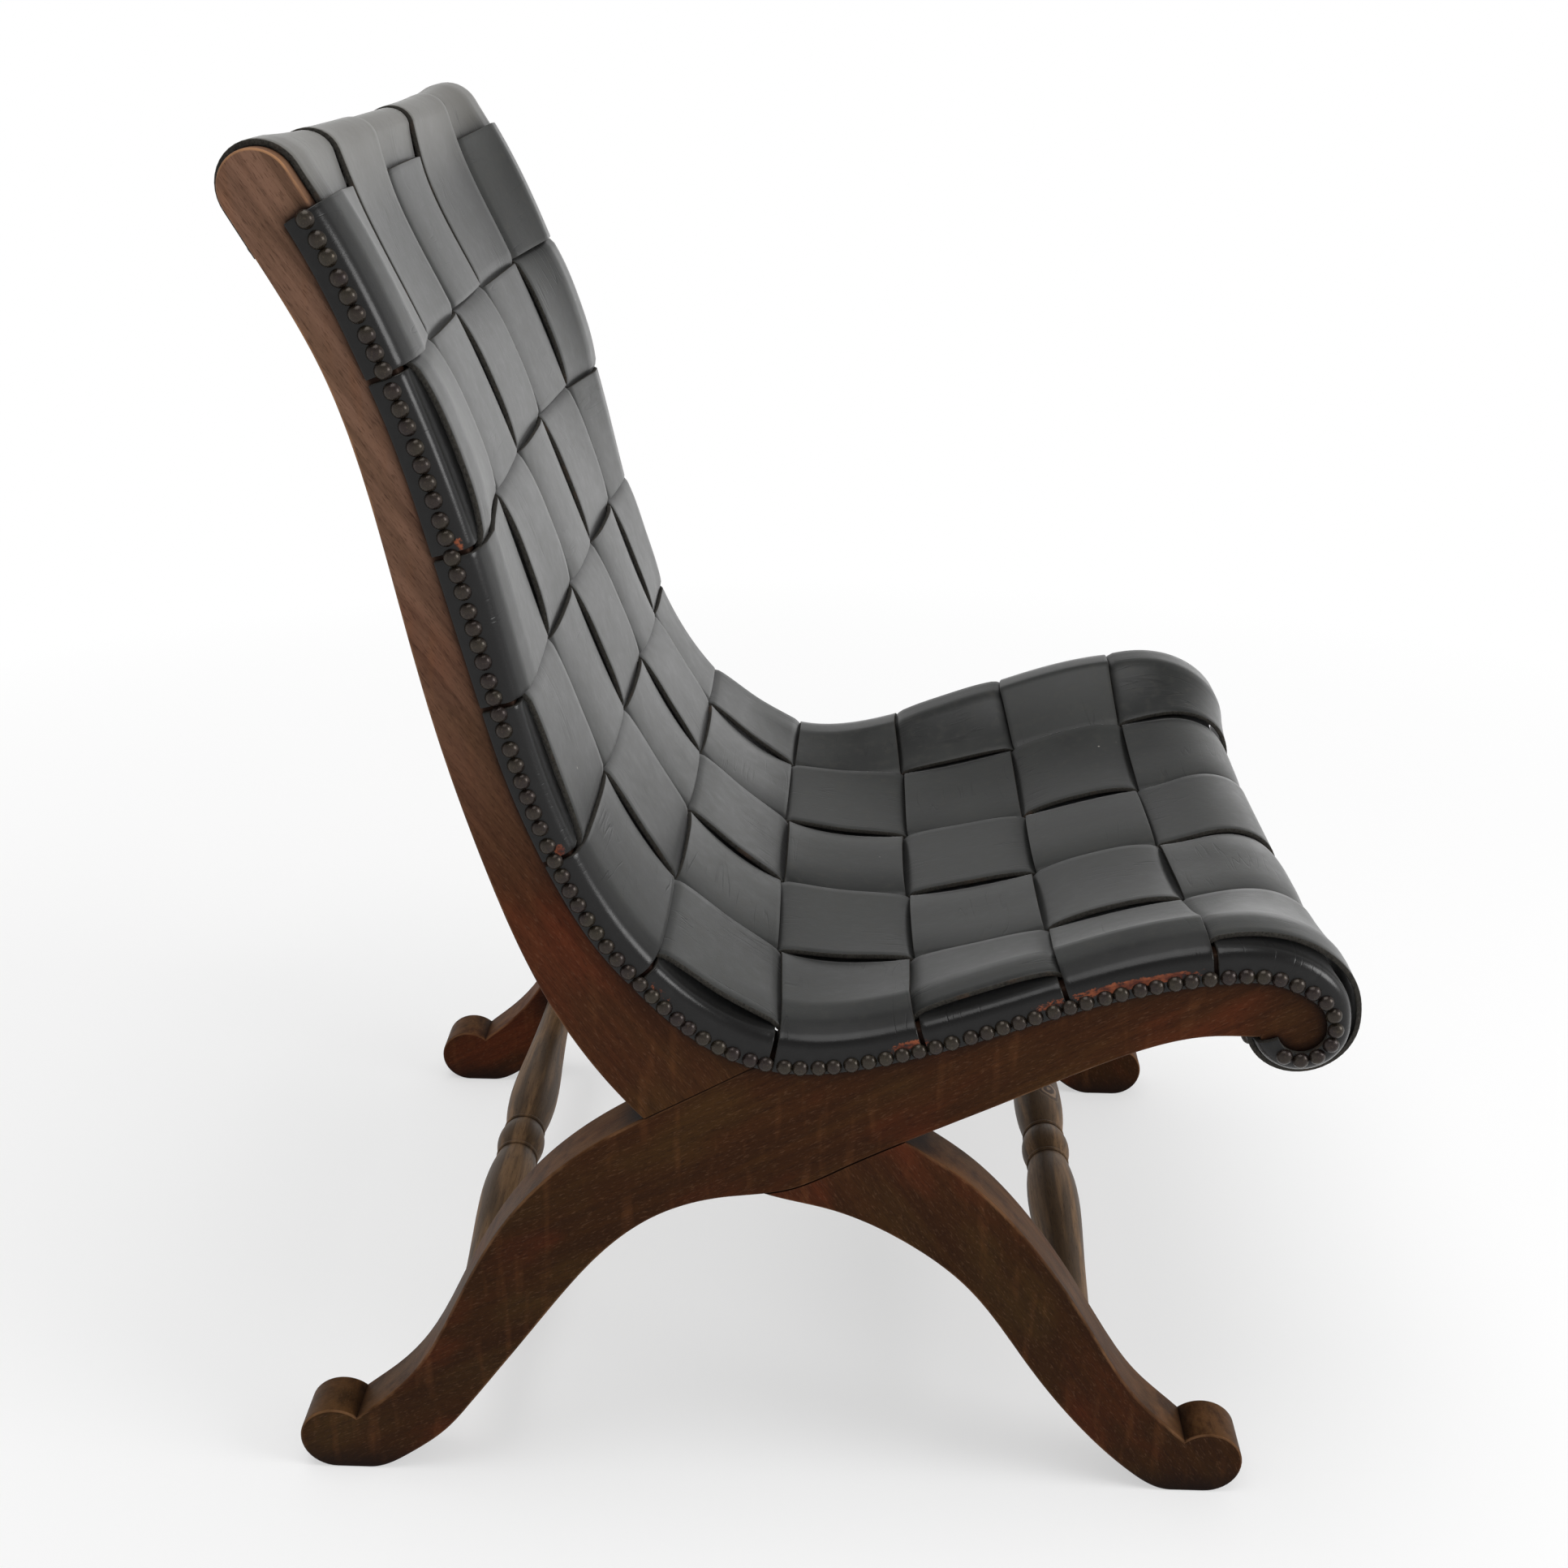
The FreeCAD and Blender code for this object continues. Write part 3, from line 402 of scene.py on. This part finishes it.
def cross_strap(number):
    """One of the ten straps woven across, folded over the side frames and nailed to their faces."""
    across = folded_stations()
    shares = stations(0, 1, MESH_STEP / (ROWS[number + 1] - ROWS[number]))
    strap, column, row = lattice(f"strap_cross_{number + 1:02d}", across, shares)
    way = across[column]
    start = row_edge(number, way) + STRAP_GAP / 2
    end = row_edge(number + 1, way) - STRAP_GAP / 2
    if number == len(ROWS) - 2:
        end = leather.length
    run = start + (end - start) * shares[row]
    past = np.clip(np.abs(way) - TURN, 0, None)
    bend = np.clip(past / FOLD_RADIUS, 0, math.pi / 2)
    x = np.sign(way) * (np.minimum(np.abs(way), TURN) + FOLD_RADIUS * np.sin(bend))
    on_top = [(number + cell) % 2 == 0 for cell in range(len(COLUMNS) - 1)]
    bounds = np.r_[-RIM, COLUMNS[1:-1], RIM]
    swell = chance.uniform(*SWELL_RANGE, len(on_top))
    swell[[0, -1]] *= RIM_BULGE_SHARE
    height = woven_height(np.clip(x, -RIM, RIM), bounds, on_top, swell)
    for side, top in ((-1, on_top[0]), (1, on_top[-1])):
        if top:
            height -= (HIGH - LOW) * ramp(side * x - RIM - RIM_SHIFT, RIM_RAMP)
    share = run / leather.length
    nail_level = -NAIL_INSET * eased(NAIL_INSET_SHARES, share)
    flap_level = nail_level - FLAP_MARGIN * eased(FLAP_MARGIN_SHARES, share)
    flap_share = np.clip((past - FOLD) / FLAP, 0, 1)
    height -= FOLD_RADIUS * (1 - np.cos(bend))
    height += flap_share * (flap_level - LOW + FOLD_RADIUS)
    lay(strap, woven_places(x, run, height), run, way - number - 1)
    mark(strap, "rubbed", rubbed(np.sign(x), run, height))
    mark(strap, "bent", np.sin(2 * bend))
    # Painted shade along the rims, over the folds and on the flaps.
    mark(strap, "rim_shade", ramp(np.abs(way) - TURN + RIM_SHADE_WIDTH / 2, RIM_SHADE_WIDTH))
    thicken(strap)
    return strap


class Network:
    """Shader nodes under construction: added by kind, with their inputs by name."""

    def __init__(self, tree):
        self.tree = tree

    def feed(self, node, name, value):
        """Links a node's input to a socket, or sets it to a value."""
        if isinstance(value, bpy.types.NodeSocket):
            self.tree.links.new(value, node.inputs[name])
        else:
            node.inputs[name].default_value = value

    def node(self, kind, inputs=None, **settings):
        made = self.tree.nodes.new(kind)
        for name, value in settings.items():
            setattr(made, name, value)
        for name, value in (inputs or {}).items():
            self.feed(made, name, value)
        return made

    def compute(self, operation, *values):
        return self.node("ShaderNodeMath", dict(enumerate(values)), operation=operation).outputs[0]

    def sum(self, first, second):
        return self.compute("ADD", first, second)

    def product(self, first, second):
        return self.compute("MULTIPLY", first, second)

    def between(self, value, low, high, start=0.0, end=1.0):
        """Value from low to high, mapped to start to end and held there outside."""
        made = self.node("ShaderNodeMapRange", {"Value": value, "From Min": low, "From Max": high,
                                                "To Min": start, "To Max": end})
        return made.outputs["Result"]

    def number_mix(self, share, first, second):
        return self.node("ShaderNodeMix", {0: share, 2: first, 3: second}).outputs[0]

    def colour_mix(self, share, first, second):
        return self.node("ShaderNodeMix", {0: share, 6: first, 7: second}, data_type="RGBA").outputs[2]

    def parts(self, vector):
        return self.node("ShaderNodeSeparateXYZ", {"Vector": vector}).outputs

    def length(self, vector):
        return self.node("ShaderNodeVectorMath", {0: vector}, operation="LENGTH").outputs["Value"]


class Finish(Network):
    """A material under construction. Layers of colour are laid over its base colour, one after the other."""

    def __init__(self, name, specular):
        self.material = bpy.data.materials.new(name)
        self.material.use_nodes = True
        super().__init__(self.material.node_tree)
        self.shader = self.tree.nodes["Principled BSDF"]
        self.base = None
        self.feed(self.shader, "Specular IOR Level", specular)

    def noise(self, vector, scale=1.0, detail=3.0, roughness=0.5):
        made = self.node("ShaderNodeTexNoise", {"Vector": vector, "Scale": scale, "Detail": detail,
                                                "Roughness": roughness})
        return made.outputs["Fac"]

    def specks(self, vector, scale, size, rarity):
        """Small spots, one in a few cells of a scattered pattern."""
        cells = self.node("ShaderNodeTexVoronoi", {"Vector": vector, "Scale": scale}).outputs
        spot = self.between(cells["Distance"], size, size / 2)
        kept = self.between(cells["Color"], rarity, rarity + 0.01)
        return self.product(spot, kept)

    def ridges(self, value, width):
        """Thin lines where a smooth pattern crosses its middle."""
        away = self.compute("ABSOLUTE", self.sum(value, -0.5))
        return self.between(away, 0.0, width, start=1.0, end=0.0)

    def object_places(self):
        return self.node("ShaderNodeTexCoord").outputs["Object"]

    def grain_places(self, sizes, lean=0.0, centre=(0, 0, 0)):
        """Places from a centre, in units of sizes. The grain may lean in the side view."""
        made = self.node("ShaderNodeMapping", {"Vector": self.object_places(), "Location": centre,
                                               "Rotation": (lean, 0, 0), "Scale": sizes},
                         vector_type="TEXTURE")
        return made.outputs["Vector"]

    def chart_places(self, scale=(1, 1, 1)):
        """Places on the flat leather, by real length across and along a strap."""
        places = self.node("ShaderNodeUVMap").outputs["UV"]
        return self.node("ShaderNodeMapping", {"Vector": places, "Scale": scale}).outputs["Vector"]

    def marked(self, name):
        return self.node("ShaderNodeAttribute", attribute_name=name).outputs["Fac"]

    def open_air(self, distance, samples):
        """How open a place is, 1 where nothing else is within a distance."""
        made = self.node("ShaderNodeAmbientOcclusion", {"Distance": distance}, samples=samples)
        return made.outputs["AO"]

    def layer(self, shade, share):
        """Covers the base colour by a share of a shade."""
        self.base = self.colour_mix(share, self.base, shade)

    def close(self, rough, relief, strength, depth):
        """Gives the shader its colour, its roughness and its fine relief."""
        bump = self.node("ShaderNodeBump", {"Height": relief, "Strength": strength, "Distance": depth})
        self.feed(self.shader, "Base Color", self.base)
        self.feed(self.shader, "Roughness", rough)
        self.feed(self.shader, "Normal", bump.outputs["Normal"])
        return self.material


def colour(red, green, blue):
    """A colour given as it shows on screen, from 0 to 255, as the shader takes it."""
    shown = np.array([red, green, blue]) / 255
    linear = np.where(shown <= 0.04045, shown / 12.92, ((shown + 0.055) / 1.055) ** 2.4)
    return (*linear, 1)


# The patterns below run from about 0.3 to 0.7. The limits given with them are places in that run.
# The leather's colours.
BLACK_LEATHER = colour(26, 27, 26)
GREY_LEATHER = colour(40, 41, 39)
DULL_LEATHER = colour(58, 56, 50)
LEATHER_RIM_SHADE = colour(13, 12, 12)
LEATHER_DUST_AND_SHEEN = colour(90, 88, 83)
CREASE_SHADE = colour(12, 12, 12)
SCUFF = colour(150, 146, 138)
GAP_SHADE = colour(11, 11, 10)
BARE_RED = colour(78, 36, 26)
BARE_TAN = colour(140, 76, 48)
CUT_BLACK = colour(34, 33, 31)
CUT_GREY = colour(72, 69, 64)
CUT_TAN = colour(92, 72, 58)
# How much the noise frays the rubbed places, and where black turns to bare.
FRAYING = 2.4
BARE_LIMITS = (1.90, 2.00)
CREASE_SCALES = (110, 11, 1)

# The side boards' colours, from the feet up, and those laid over them. The darker feet are partly the wood's
# own tone and partly painted shade.
POST_SHADES = (colour(52, 29, 9), colour(76, 43, 24), colour(130, 98, 80))
RAIL_SHADES = (colour(52, 29, 9), colour(68, 38, 18), colour(68, 38, 18))
WOOD_RED = colour(112, 48, 28)
WOOD_OLIVE = colour(74, 58, 24)
WOOD_TAN = colour(132, 84, 50)
WOOD_STREAK = colour(34, 17, 8)
WOOD_FLECK = colour(170, 130, 100)
WOOD_PORE = colour(28, 14, 8)
WOOD_DUST_AND_TOP_LIGHT = colour(108, 74, 44)
WORN_ARRIS = colour(160, 118, 84)
WOOD_CORNER_SHADE = colour(22, 13, 10)
WOOD_SPECK = colour(190, 158, 136)
# Heights between which one shade turns to the next, and the arrises' wear grows.
LOW_TURN = (0.16, 0.34)
HIGH_TURN = (0.38, 0.60)
WEAR_TURN = (0.40, 0.62)
# Sizes of the boards' patterns: across, along the grain and through it.
STREAK_SIZES = (12 * MM, 110 * MM, 4.5 * MM)
PORE_SIZES = (1.0 * MM, 6.5 * MM, 0.7 * MM)
FLECK_SIZES = (1.5 * MM, 4 * MM, 0.9 * MM)
CLOUD_SIZES = (60 * MM, 100 * MM, 45 * MM)
FIGURE_SIZES = (30 * MM, 9 * MM, 50 * MM)
# How steeply the two boards of a side rise, between the middles of their scrolls.
POST_LEAN = math.atan2(SIDE_HEIGHT - TOP_RADIUS - FOOT_RADIUS, (TOP_SCROLL_SHARE + FOOT_SHARE) * SIDE_DEPTH)
RAIL_LEAN = math.atan2(FOOT_RADIUS - FRONT_SCROLL_SHARES[1] * SIDE_HEIGHT,
                       (FOOT_SHARE - FRONT_SCROLL_SHARES[0]) * SIDE_DEPTH)

# The bars' colours, and the sizes of their patterns: along the bar and across it.
BAR_BROWN = colour(80, 62, 44)
BAR_TAN = colour(122, 94, 66)
BAR_STREAK = colour(66, 50, 36)
BAR_PORE = colour(34, 25, 18)
BAR_CORNER_SHADE = colour(30, 22, 17)
RING_BROWN = colour(60, 44, 34)
RING_TAN = colour(128, 104, 82)
HEART_SIZES = (160 * MM, 12 * MM, 12 * MM)
BAR_STREAK_SIZES = (45 * MM, 2.2 * MM, 2.2 * MM)
BAR_PORE_SIZES = (7 * MM, 0.7 * MM, 0.7 * MM)
KNOT_SIZES = (11 * MM, 8 * MM, 8 * MM)
RINGS_PER_KNOT = 14.0
bar_low, bar_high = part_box("front_stretcher")
KNOT = (55 * MM, (bar_low.y + bar_high.y) / 2 - 6 * MM, bar_high.z - 5 * MM)

# The nails' colours.
NAIL_RED = colour(40, 31, 29)
NAIL_OLIVE = colour(48, 42, 33)
NAIL_SHINE = colour(92, 80, 64)


def leather_finish():
    """Satin black leather with pores, creases, scuffs and brown places where the black is rubbed off, with
    painted shade in the creases, the gaps and along the rims, and dust with painted sheen on the roll.
    """
    finish = Finish("black_leather", specular=0.3)
    places = finish.chart_places()
    cloud = finish.noise(places, scale=14)
    pores = finish.noise(places, scale=1100, detail=2)
    mottle = finish.noise(places, scale=120, detail=5, roughness=0.6)
    crease_lines = finish.ridges(finish.noise(finish.chart_places(CREASE_SCALES), detail=1), width=0.018)
    creased = finish.between(finish.noise(places, scale=24, detail=1), 0.50, 0.64)
    creases = finish.product(crease_lines, creased)
    scuffs = finish.specks(places, scale=70, size=0.07, rarity=0.86)
    fray = finish.product(finish.noise(places, scale=240, detail=6, roughness=0.85), FRAYING)
    bare = finish.between(finish.sum(finish.marked("rubbed"), fray), *BARE_LIMITS)
    # Painted shade along the rims and on the flaps, broken up by the mottle.
    rim_shade = finish.product(finish.marked("rim_shade"), finish.between(mottle, 0.3, 0.5, start=0.8))
    # Dust and painted sheen on the roll at the top of the back.
    dust_and_light = finish.product(finish.marked("dust_and_light"), finish.between(mottle, 0.3, 0.6, start=0.85))
    tan = finish.colour_mix(finish.between(mottle, 0.40, 0.60), BARE_RED, BARE_TAN)
    finish.base = finish.colour_mix(finish.between(cloud, 0.35, 0.65), BLACK_LEATHER, GREY_LEATHER)
    finish.layer(DULL_LEATHER, finish.between(mottle, 0.5, 0.75, end=0.4))
    finish.layer(LEATHER_RIM_SHADE, rim_shade)
    finish.layer(LEATHER_DUST_AND_SHEEN, dust_and_light)
    # Painted shade in the creases.
    finish.layer(CREASE_SHADE, finish.product(creases, 0.55))
    finish.layer(SCUFF, finish.product(scuffs, 0.8))
    finish.layer(GAP_SHADE, finish.between(finish.open_air(11 * MM, samples=6), 0.95, 0.60, end=0.85))
    finish.layer(tan, bare)
    finish.feed(finish.shader, "Sheen Weight", 0.3)
    finish.feed(finish.shader, "Sheen Roughness", 0.3)
    rough = finish.between(cloud, 0.3, 0.7, start=0.36, end=0.44)
    rough = finish.sum(rough, finish.between(mottle, 0.3, 0.75, start=-0.03, end=0.05))
    rough = finish.sum(rough, finish.product(finish.marked("bent"), -0.17))
    rough = finish.sum(rough, finish.product(bare, 0.4))
    relief = finish.sum(finish.product(pores, 0.3), finish.product(mottle, 0.8))
    relief = finish.sum(relief, finish.product(creases, -0.8))
    relief = finish.sum(relief, finish.product(bare, -1.5))
    return finish.close(rough, relief, strength=0.22, depth=0.5 * MM)


def cut_leather_finish():
    """The straps' cut edges: dull, dark and fibrous."""
    finish = Finish("cut_leather_edge", specular=0.1)
    places = finish.object_places()
    fibres = finish.noise(places, scale=900, detail=4, roughness=0.7)
    patches = finish.noise(places, scale=60)
    finish.base = finish.colour_mix(finish.between(fibres, 0.3, 0.7), CUT_BLACK, CUT_GREY)
    finish.layer(CUT_TAN, finish.between(patches, 0.6, 0.75, end=0.5))
    return finish.close(0.85, fibres, strength=0.5, depth=0.4 * MM)


def wood_finish(name, lean, low, middle, high):
    """Old waxed wood with grain, pores and worn arrises, darker towards the feet partly by painted shade,
    with dust and painted light on the top faces and painted shade in the corners.
    """
    finish = Finish(name, specular=0.06)
    streaks = finish.noise(finish.grain_places(STREAK_SIZES, lean), detail=4, roughness=0.6)
    pores = finish.noise(finish.grain_places(PORE_SIZES, lean), roughness=0.6)
    flecks = finish.noise(finish.grain_places(FLECK_SIZES, lean), roughness=0.6)
    cloud = finish.noise(finish.grain_places(CLOUD_SIZES, lean))
    figure = finish.noise(finish.grain_places(FIGURE_SIZES), detail=2)
    places = finish.object_places()
    height = finish.parts(places)["Z"]
    facing = finish.parts(finish.node("ShaderNodeNewGeometry").outputs["Normal"])
    sideways = finish.compute("ABSOLUTE", facing["X"])

    # Darker towards the feet: partly the wood's own tone, partly painted shade.
    finish.base = finish.colour_mix(finish.between(height, *LOW_TURN), low, middle)
    finish.layer(high, finish.between(height, *HIGH_TURN))
    reddened = finish.colour_mix(0.65, finish.base, WOOD_RED)
    finish.layer(reddened, finish.between(cloud, 0.52, 0.68, end=0.5))
    faded = finish.colour_mix(0.5, finish.base, WOOD_OLIVE)
    finish.layer(faded, finish.between(cloud, 0.48, 0.34, end=0.5))
    finish.layer(WOOD_TAN, finish.between(figure, 0.56, 0.74, end=0.18))
    finish.layer(WOOD_STREAK, finish.between(streaks, 0.60, 0.38, end=0.38))
    finish.layer(WOOD_FLECK, finish.between(flecks, 0.56, 0.70, end=0.09))
    finish.layer(WOOD_PORE, finish.between(pores, 0.54, 0.66, end=0.45))

    # Dust and painted light on the faces that look up.
    dust_and_light = finish.product(finish.between(facing["Z"], 0.1, 0.7), finish.between(sideways, 0.7, 0.4))
    dust_and_light = finish.product(dust_and_light, finish.between(cloud, 0.35, 0.6, start=0.35, end=0.75))
    dust_and_light = finish.product(dust_and_light, finish.between(streaks, 0.36, 0.58, start=0.25))
    finish.layer(WOOD_DUST_AND_TOP_LIGHT, dust_and_light)

    worn = finish.product(finish.between(sideways, 0.2, 0.5), finish.between(sideways, 0.985, 0.9))
    rubbing = finish.between(finish.noise(places, scale=38), 0.42, 0.60, start=0.15, end=0.85)
    worn = finish.product(worn, rubbing)
    worn = finish.product(worn, finish.between(finish.open_air(3 * MM, samples=6), 0.80, 0.97))
    worn = finish.product(worn, finish.between(height, *WEAR_TURN, start=0.35))
    finish.layer(WORN_ARRIS, worn)

    # Painted shade in the corners, beside the leather and round the nails.
    finish.layer(WOOD_CORNER_SHADE, finish.between(finish.open_air(22 * MM, samples=8), 0.97, 0.62, end=0.9))
    specks = finish.specks(places, scale=30, size=0.035, rarity=0.93)
    finish.layer(WOOD_SPECK, finish.product(specks, 0.8))
    rough = finish.between(cloud, 0.3, 0.7, start=0.46, end=0.60)
    relief = finish.sum(finish.product(pores, -1.0), finish.product(streaks, 0.6))
    return finish.close(rough, relief, strength=0.25, depth=0.5 * MM)


def bar_finish():
    """Turned stretchers of two-tone wood, dark on one side and tan on the other, with one knot."""
    finish = Finish("bar_wood", specular=0.12)
    heart = finish.noise(finish.grain_places(HEART_SIZES), detail=2)
    streaks = finish.noise(finish.grain_places(BAR_STREAK_SIZES), detail=4, roughness=0.6)
    pores = finish.noise(finish.grain_places(BAR_PORE_SIZES), roughness=0.6)
    finish.base = finish.colour_mix(finish.between(heart, 0.44, 0.56), BAR_BROWN, BAR_TAN)
    finish.layer(BAR_STREAK, finish.between(streaks, 0.44, 0.62, end=0.55))
    finish.layer(BAR_PORE, finish.between(pores, 0.58, 0.68, end=0.55))

    wobble = finish.product(finish.noise(finish.object_places(), scale=110), 0.6)
    reach = finish.sum(finish.length(finish.grain_places(KNOT_SIZES, centre=KNOT)), wobble)
    rings = finish.compute("SINE", finish.product(reach, RINGS_PER_KNOT))
    ringed = finish.colour_mix(finish.between(rings, -0.4, 0.6), RING_BROWN, RING_TAN)
    finish.layer(ringed, finish.between(reach, 1.5, 1.1))

    # Painted shade in the corners, where the bars meet other parts.
    finish.layer(BAR_CORNER_SHADE, finish.between(finish.open_air(12 * MM, samples=6), 0.92, 0.5, end=0.8))
    rough = finish.between(heart, 0.3, 0.7, start=0.42, end=0.56)
    relief = finish.sum(streaks, finish.product(pores, -1.0))
    return finish.close(rough, relief, strength=0.25, depth=0.4 * MM)


def nail_finish():
    """Aged brass nails, nearly black brown, with a dull shine on top."""
    finish = Finish("aged_nails", specular=0.5)
    places = finish.object_places()
    patches = finish.noise(places, scale=70)
    scratches = finish.noise(places, scale=900, roughness=0.6)
    finish.base = finish.colour_mix(finish.between(patches, 0.38, 0.62), NAIL_RED, NAIL_OLIVE)
    finish.layer(NAIL_SHINE, finish.between(scratches, 0.55, 0.75, end=0.4))
    finish.feed(finish.shader, "Metallic", 0.55)
    rough = finish.between(scratches, 0.3, 0.7, start=0.24, end=0.34)
    return finish.close(rough, scratches, strength=0.15, depth=0.2 * MM)


def paint(piece, material):
    """Gives a piece one material in place of those that it has."""
    piece.data.materials.clear()
    piece.data.materials.append(material)


STRAP_LEATHER = leather_finish()
CUT_LEATHER = cut_leather_finish()
POST_WOOD = wood_finish("post_wood", POST_LEAN, *POST_SHADES)
RAIL_WOOD = wood_finish("seat_rail_wood", RAIL_LEAN, *RAIL_SHADES)
BAR_WOOD = bar_finish()
NAIL_METAL = nail_finish()

for number in range(len(COLUMNS) - 1):
    strap = long_strap(number)
    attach(strap, "root")
    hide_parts(f"long_strap_{number + 1}")
for number in range(len(ROWS) - 1):
    strap = cross_strap(number)
    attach(strap, "root")
    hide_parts(f"cross_strap_{number + 1:02d}")

for node, material, slot in (
    ("right_back_post", POST_WOOD, "frame_wood"),
    ("left_back_post", POST_WOOD, "frame_wood"),
    ("right_seat_rail", RAIL_WOOD, "frame_wood"),
    ("left_seat_rail", RAIL_WOOD, "frame_wood"),
    ("top_rail", BAR_WOOD, "rail_wood"),
    ("front_rail", BAR_WOOD, "rail_wood"),
    ("front_stretcher", BAR_WOOD, "stretcher_wood"),
    ("rear_stretcher", BAR_WOOD, "stretcher_wood"),
    ("right_side_nails", NAIL_METAL, "nail_metal"),
    ("left_side_nails", NAIL_METAL, "nail_metal"),
    ("top_rail_nails", NAIL_METAL, "nail_metal"),
    ("front_rail_nails", NAIL_METAL, "nail_metal"),
):
    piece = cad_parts[node]
    paint(piece, material)


# Floor, light and camera. The floor fades to white between two distances from the chair's middle.
FLOOR_SIZE = 60
FLOOR_SHADE = (0.94, 0.94, 0.94, 1)
FLOOR_FADE = (0.6, 1.6)
# The level of light from all round, and what shiny pieces mirror: white at the horizon, softer overhead.
AMBIENT = 0.5
OVERHEAD_HEIGHT = 0.75
OVERHEAD_LEVEL = 0.4


def add_floor():
    """A pale floor that takes the shadow and fades to plain white away from the chair."""
    bpy.ops.mesh.primitive_plane_add(size=FLOOR_SIZE)
    floor = bpy.context.object
    floor.name = "floor"
    finish = Finish("pale_floor", specular=0.0)
    finish.feed(finish.shader, "Base Color", FLOOR_SHADE)
    finish.feed(finish.shader, "Roughness", 0.9)
    fade = finish.between(finish.length(finish.object_places()), *FLOOR_FADE, start=0.5)
    path = finish.node("ShaderNodeLightPath").outputs
    seen = finish.compute("MAXIMUM", path["Is Camera Ray"], path["Is Glossy Ray"])
    seen = finish.compute("MAXIMUM", seen, path["Is Transmission Ray"])
    white = finish.node("ShaderNodeEmission", {"Strength": 1.0})
    blend = finish.node("ShaderNodeMixShader", {0: finish.product(fade, seen), 1: finish.shader.outputs[0],
                                                2: white.outputs[0]})
    finish.feed(finish.tree.nodes["Material Output"], "Surface", blend.outputs[0])
    paint(floor, finish.material)


def add_world():
    """White to the eye and near the horizon, softer overhead, and a plain level of light."""
    world = bpy.data.worlds.new("studio")
    bpy.context.scene.world = world
    world.use_nodes = True
    sky = Network(world.node_tree)
    path = sky.node("ShaderNodeLightPath").outputs
    height = sky.parts(sky.node("ShaderNodeTexCoord").outputs["Generated"])["Z"]
    overhead = sky.between(height, 0.0, OVERHEAD_HEIGHT, start=1.0, end=OVERHEAD_LEVEL)
    strength = sky.number_mix(path["Is Glossy Ray"], AMBIENT, overhead)
    strength = sky.number_mix(path["Is Camera Ray"], strength, 1.0)
    strength = sky.number_mix(path["Is Transmission Ray"], strength, 1.0)
    background = sky.tree.nodes["Background"]
    sky.feed(background, "Strength", strength)
    sky.feed(background, "Color", (1, 1, 1, 1))


def add_lamp(name, place, aim, size, power):
    """A round lamp at a place, aimed at another."""
    lamp = bpy.data.lights.new(name, "AREA")
    lamp.shape = "DISK"
    lamp.size = size
    lamp.energy = power
    holder = bpy.data.objects.new(name, lamp)
    bpy.context.scene.collection.objects.link(holder)
    holder.location = place
    holder.rotation_euler = (Vector(aim) - Vector(place)).to_track_quat("-Z", "Y").to_euler()


def add_camera():
    """Camera of the photograph, from the fit of one view to the two equal side frames."""
    right = Vector((0.03196, -0.99946, 0.00757))
    down = Vector((-0.38794, -0.01938, -0.92148))
    forward = Vector((0.92113, 0.02651, -0.38835))
    place = Vector((-1.1402, -0.0162, 0.8298))
    focal_pixels = 2400
    image_pixels = 1932
    sensor = 36
    camera = bpy.data.cameras.new("camera")
    camera.sensor_width = sensor
    camera.lens = focal_pixels / image_pixels * sensor
    camera.clip_start = 10 * MM
    holder = bpy.data.objects.new("camera", camera)
    bpy.context.scene.collection.objects.link(holder)
    turn = Matrix((right, -down, -forward)).transposed()
    holder.matrix_world = Matrix.Translation(place) @ turn.to_4x4()
    bpy.context.scene.camera = holder


add_floor()
add_world()
add_lamp("window_light", place=(-0.9, -2.7, 1.5), aim=(0, 0, 0.4), size=1.5, power=40)
add_lamp("ceiling_light", place=(-0.2, 0.3, 3.0), aim=(0, 0, 0.3), size=2.4, power=38)
add_lamp("far_window", place=(2.3, -1.0, 0.55), aim=(0, 0, 0.5), size=1.1, power=2.5)
add_camera()
bpy.context.scene.view_settings.view_transform = "Standard"
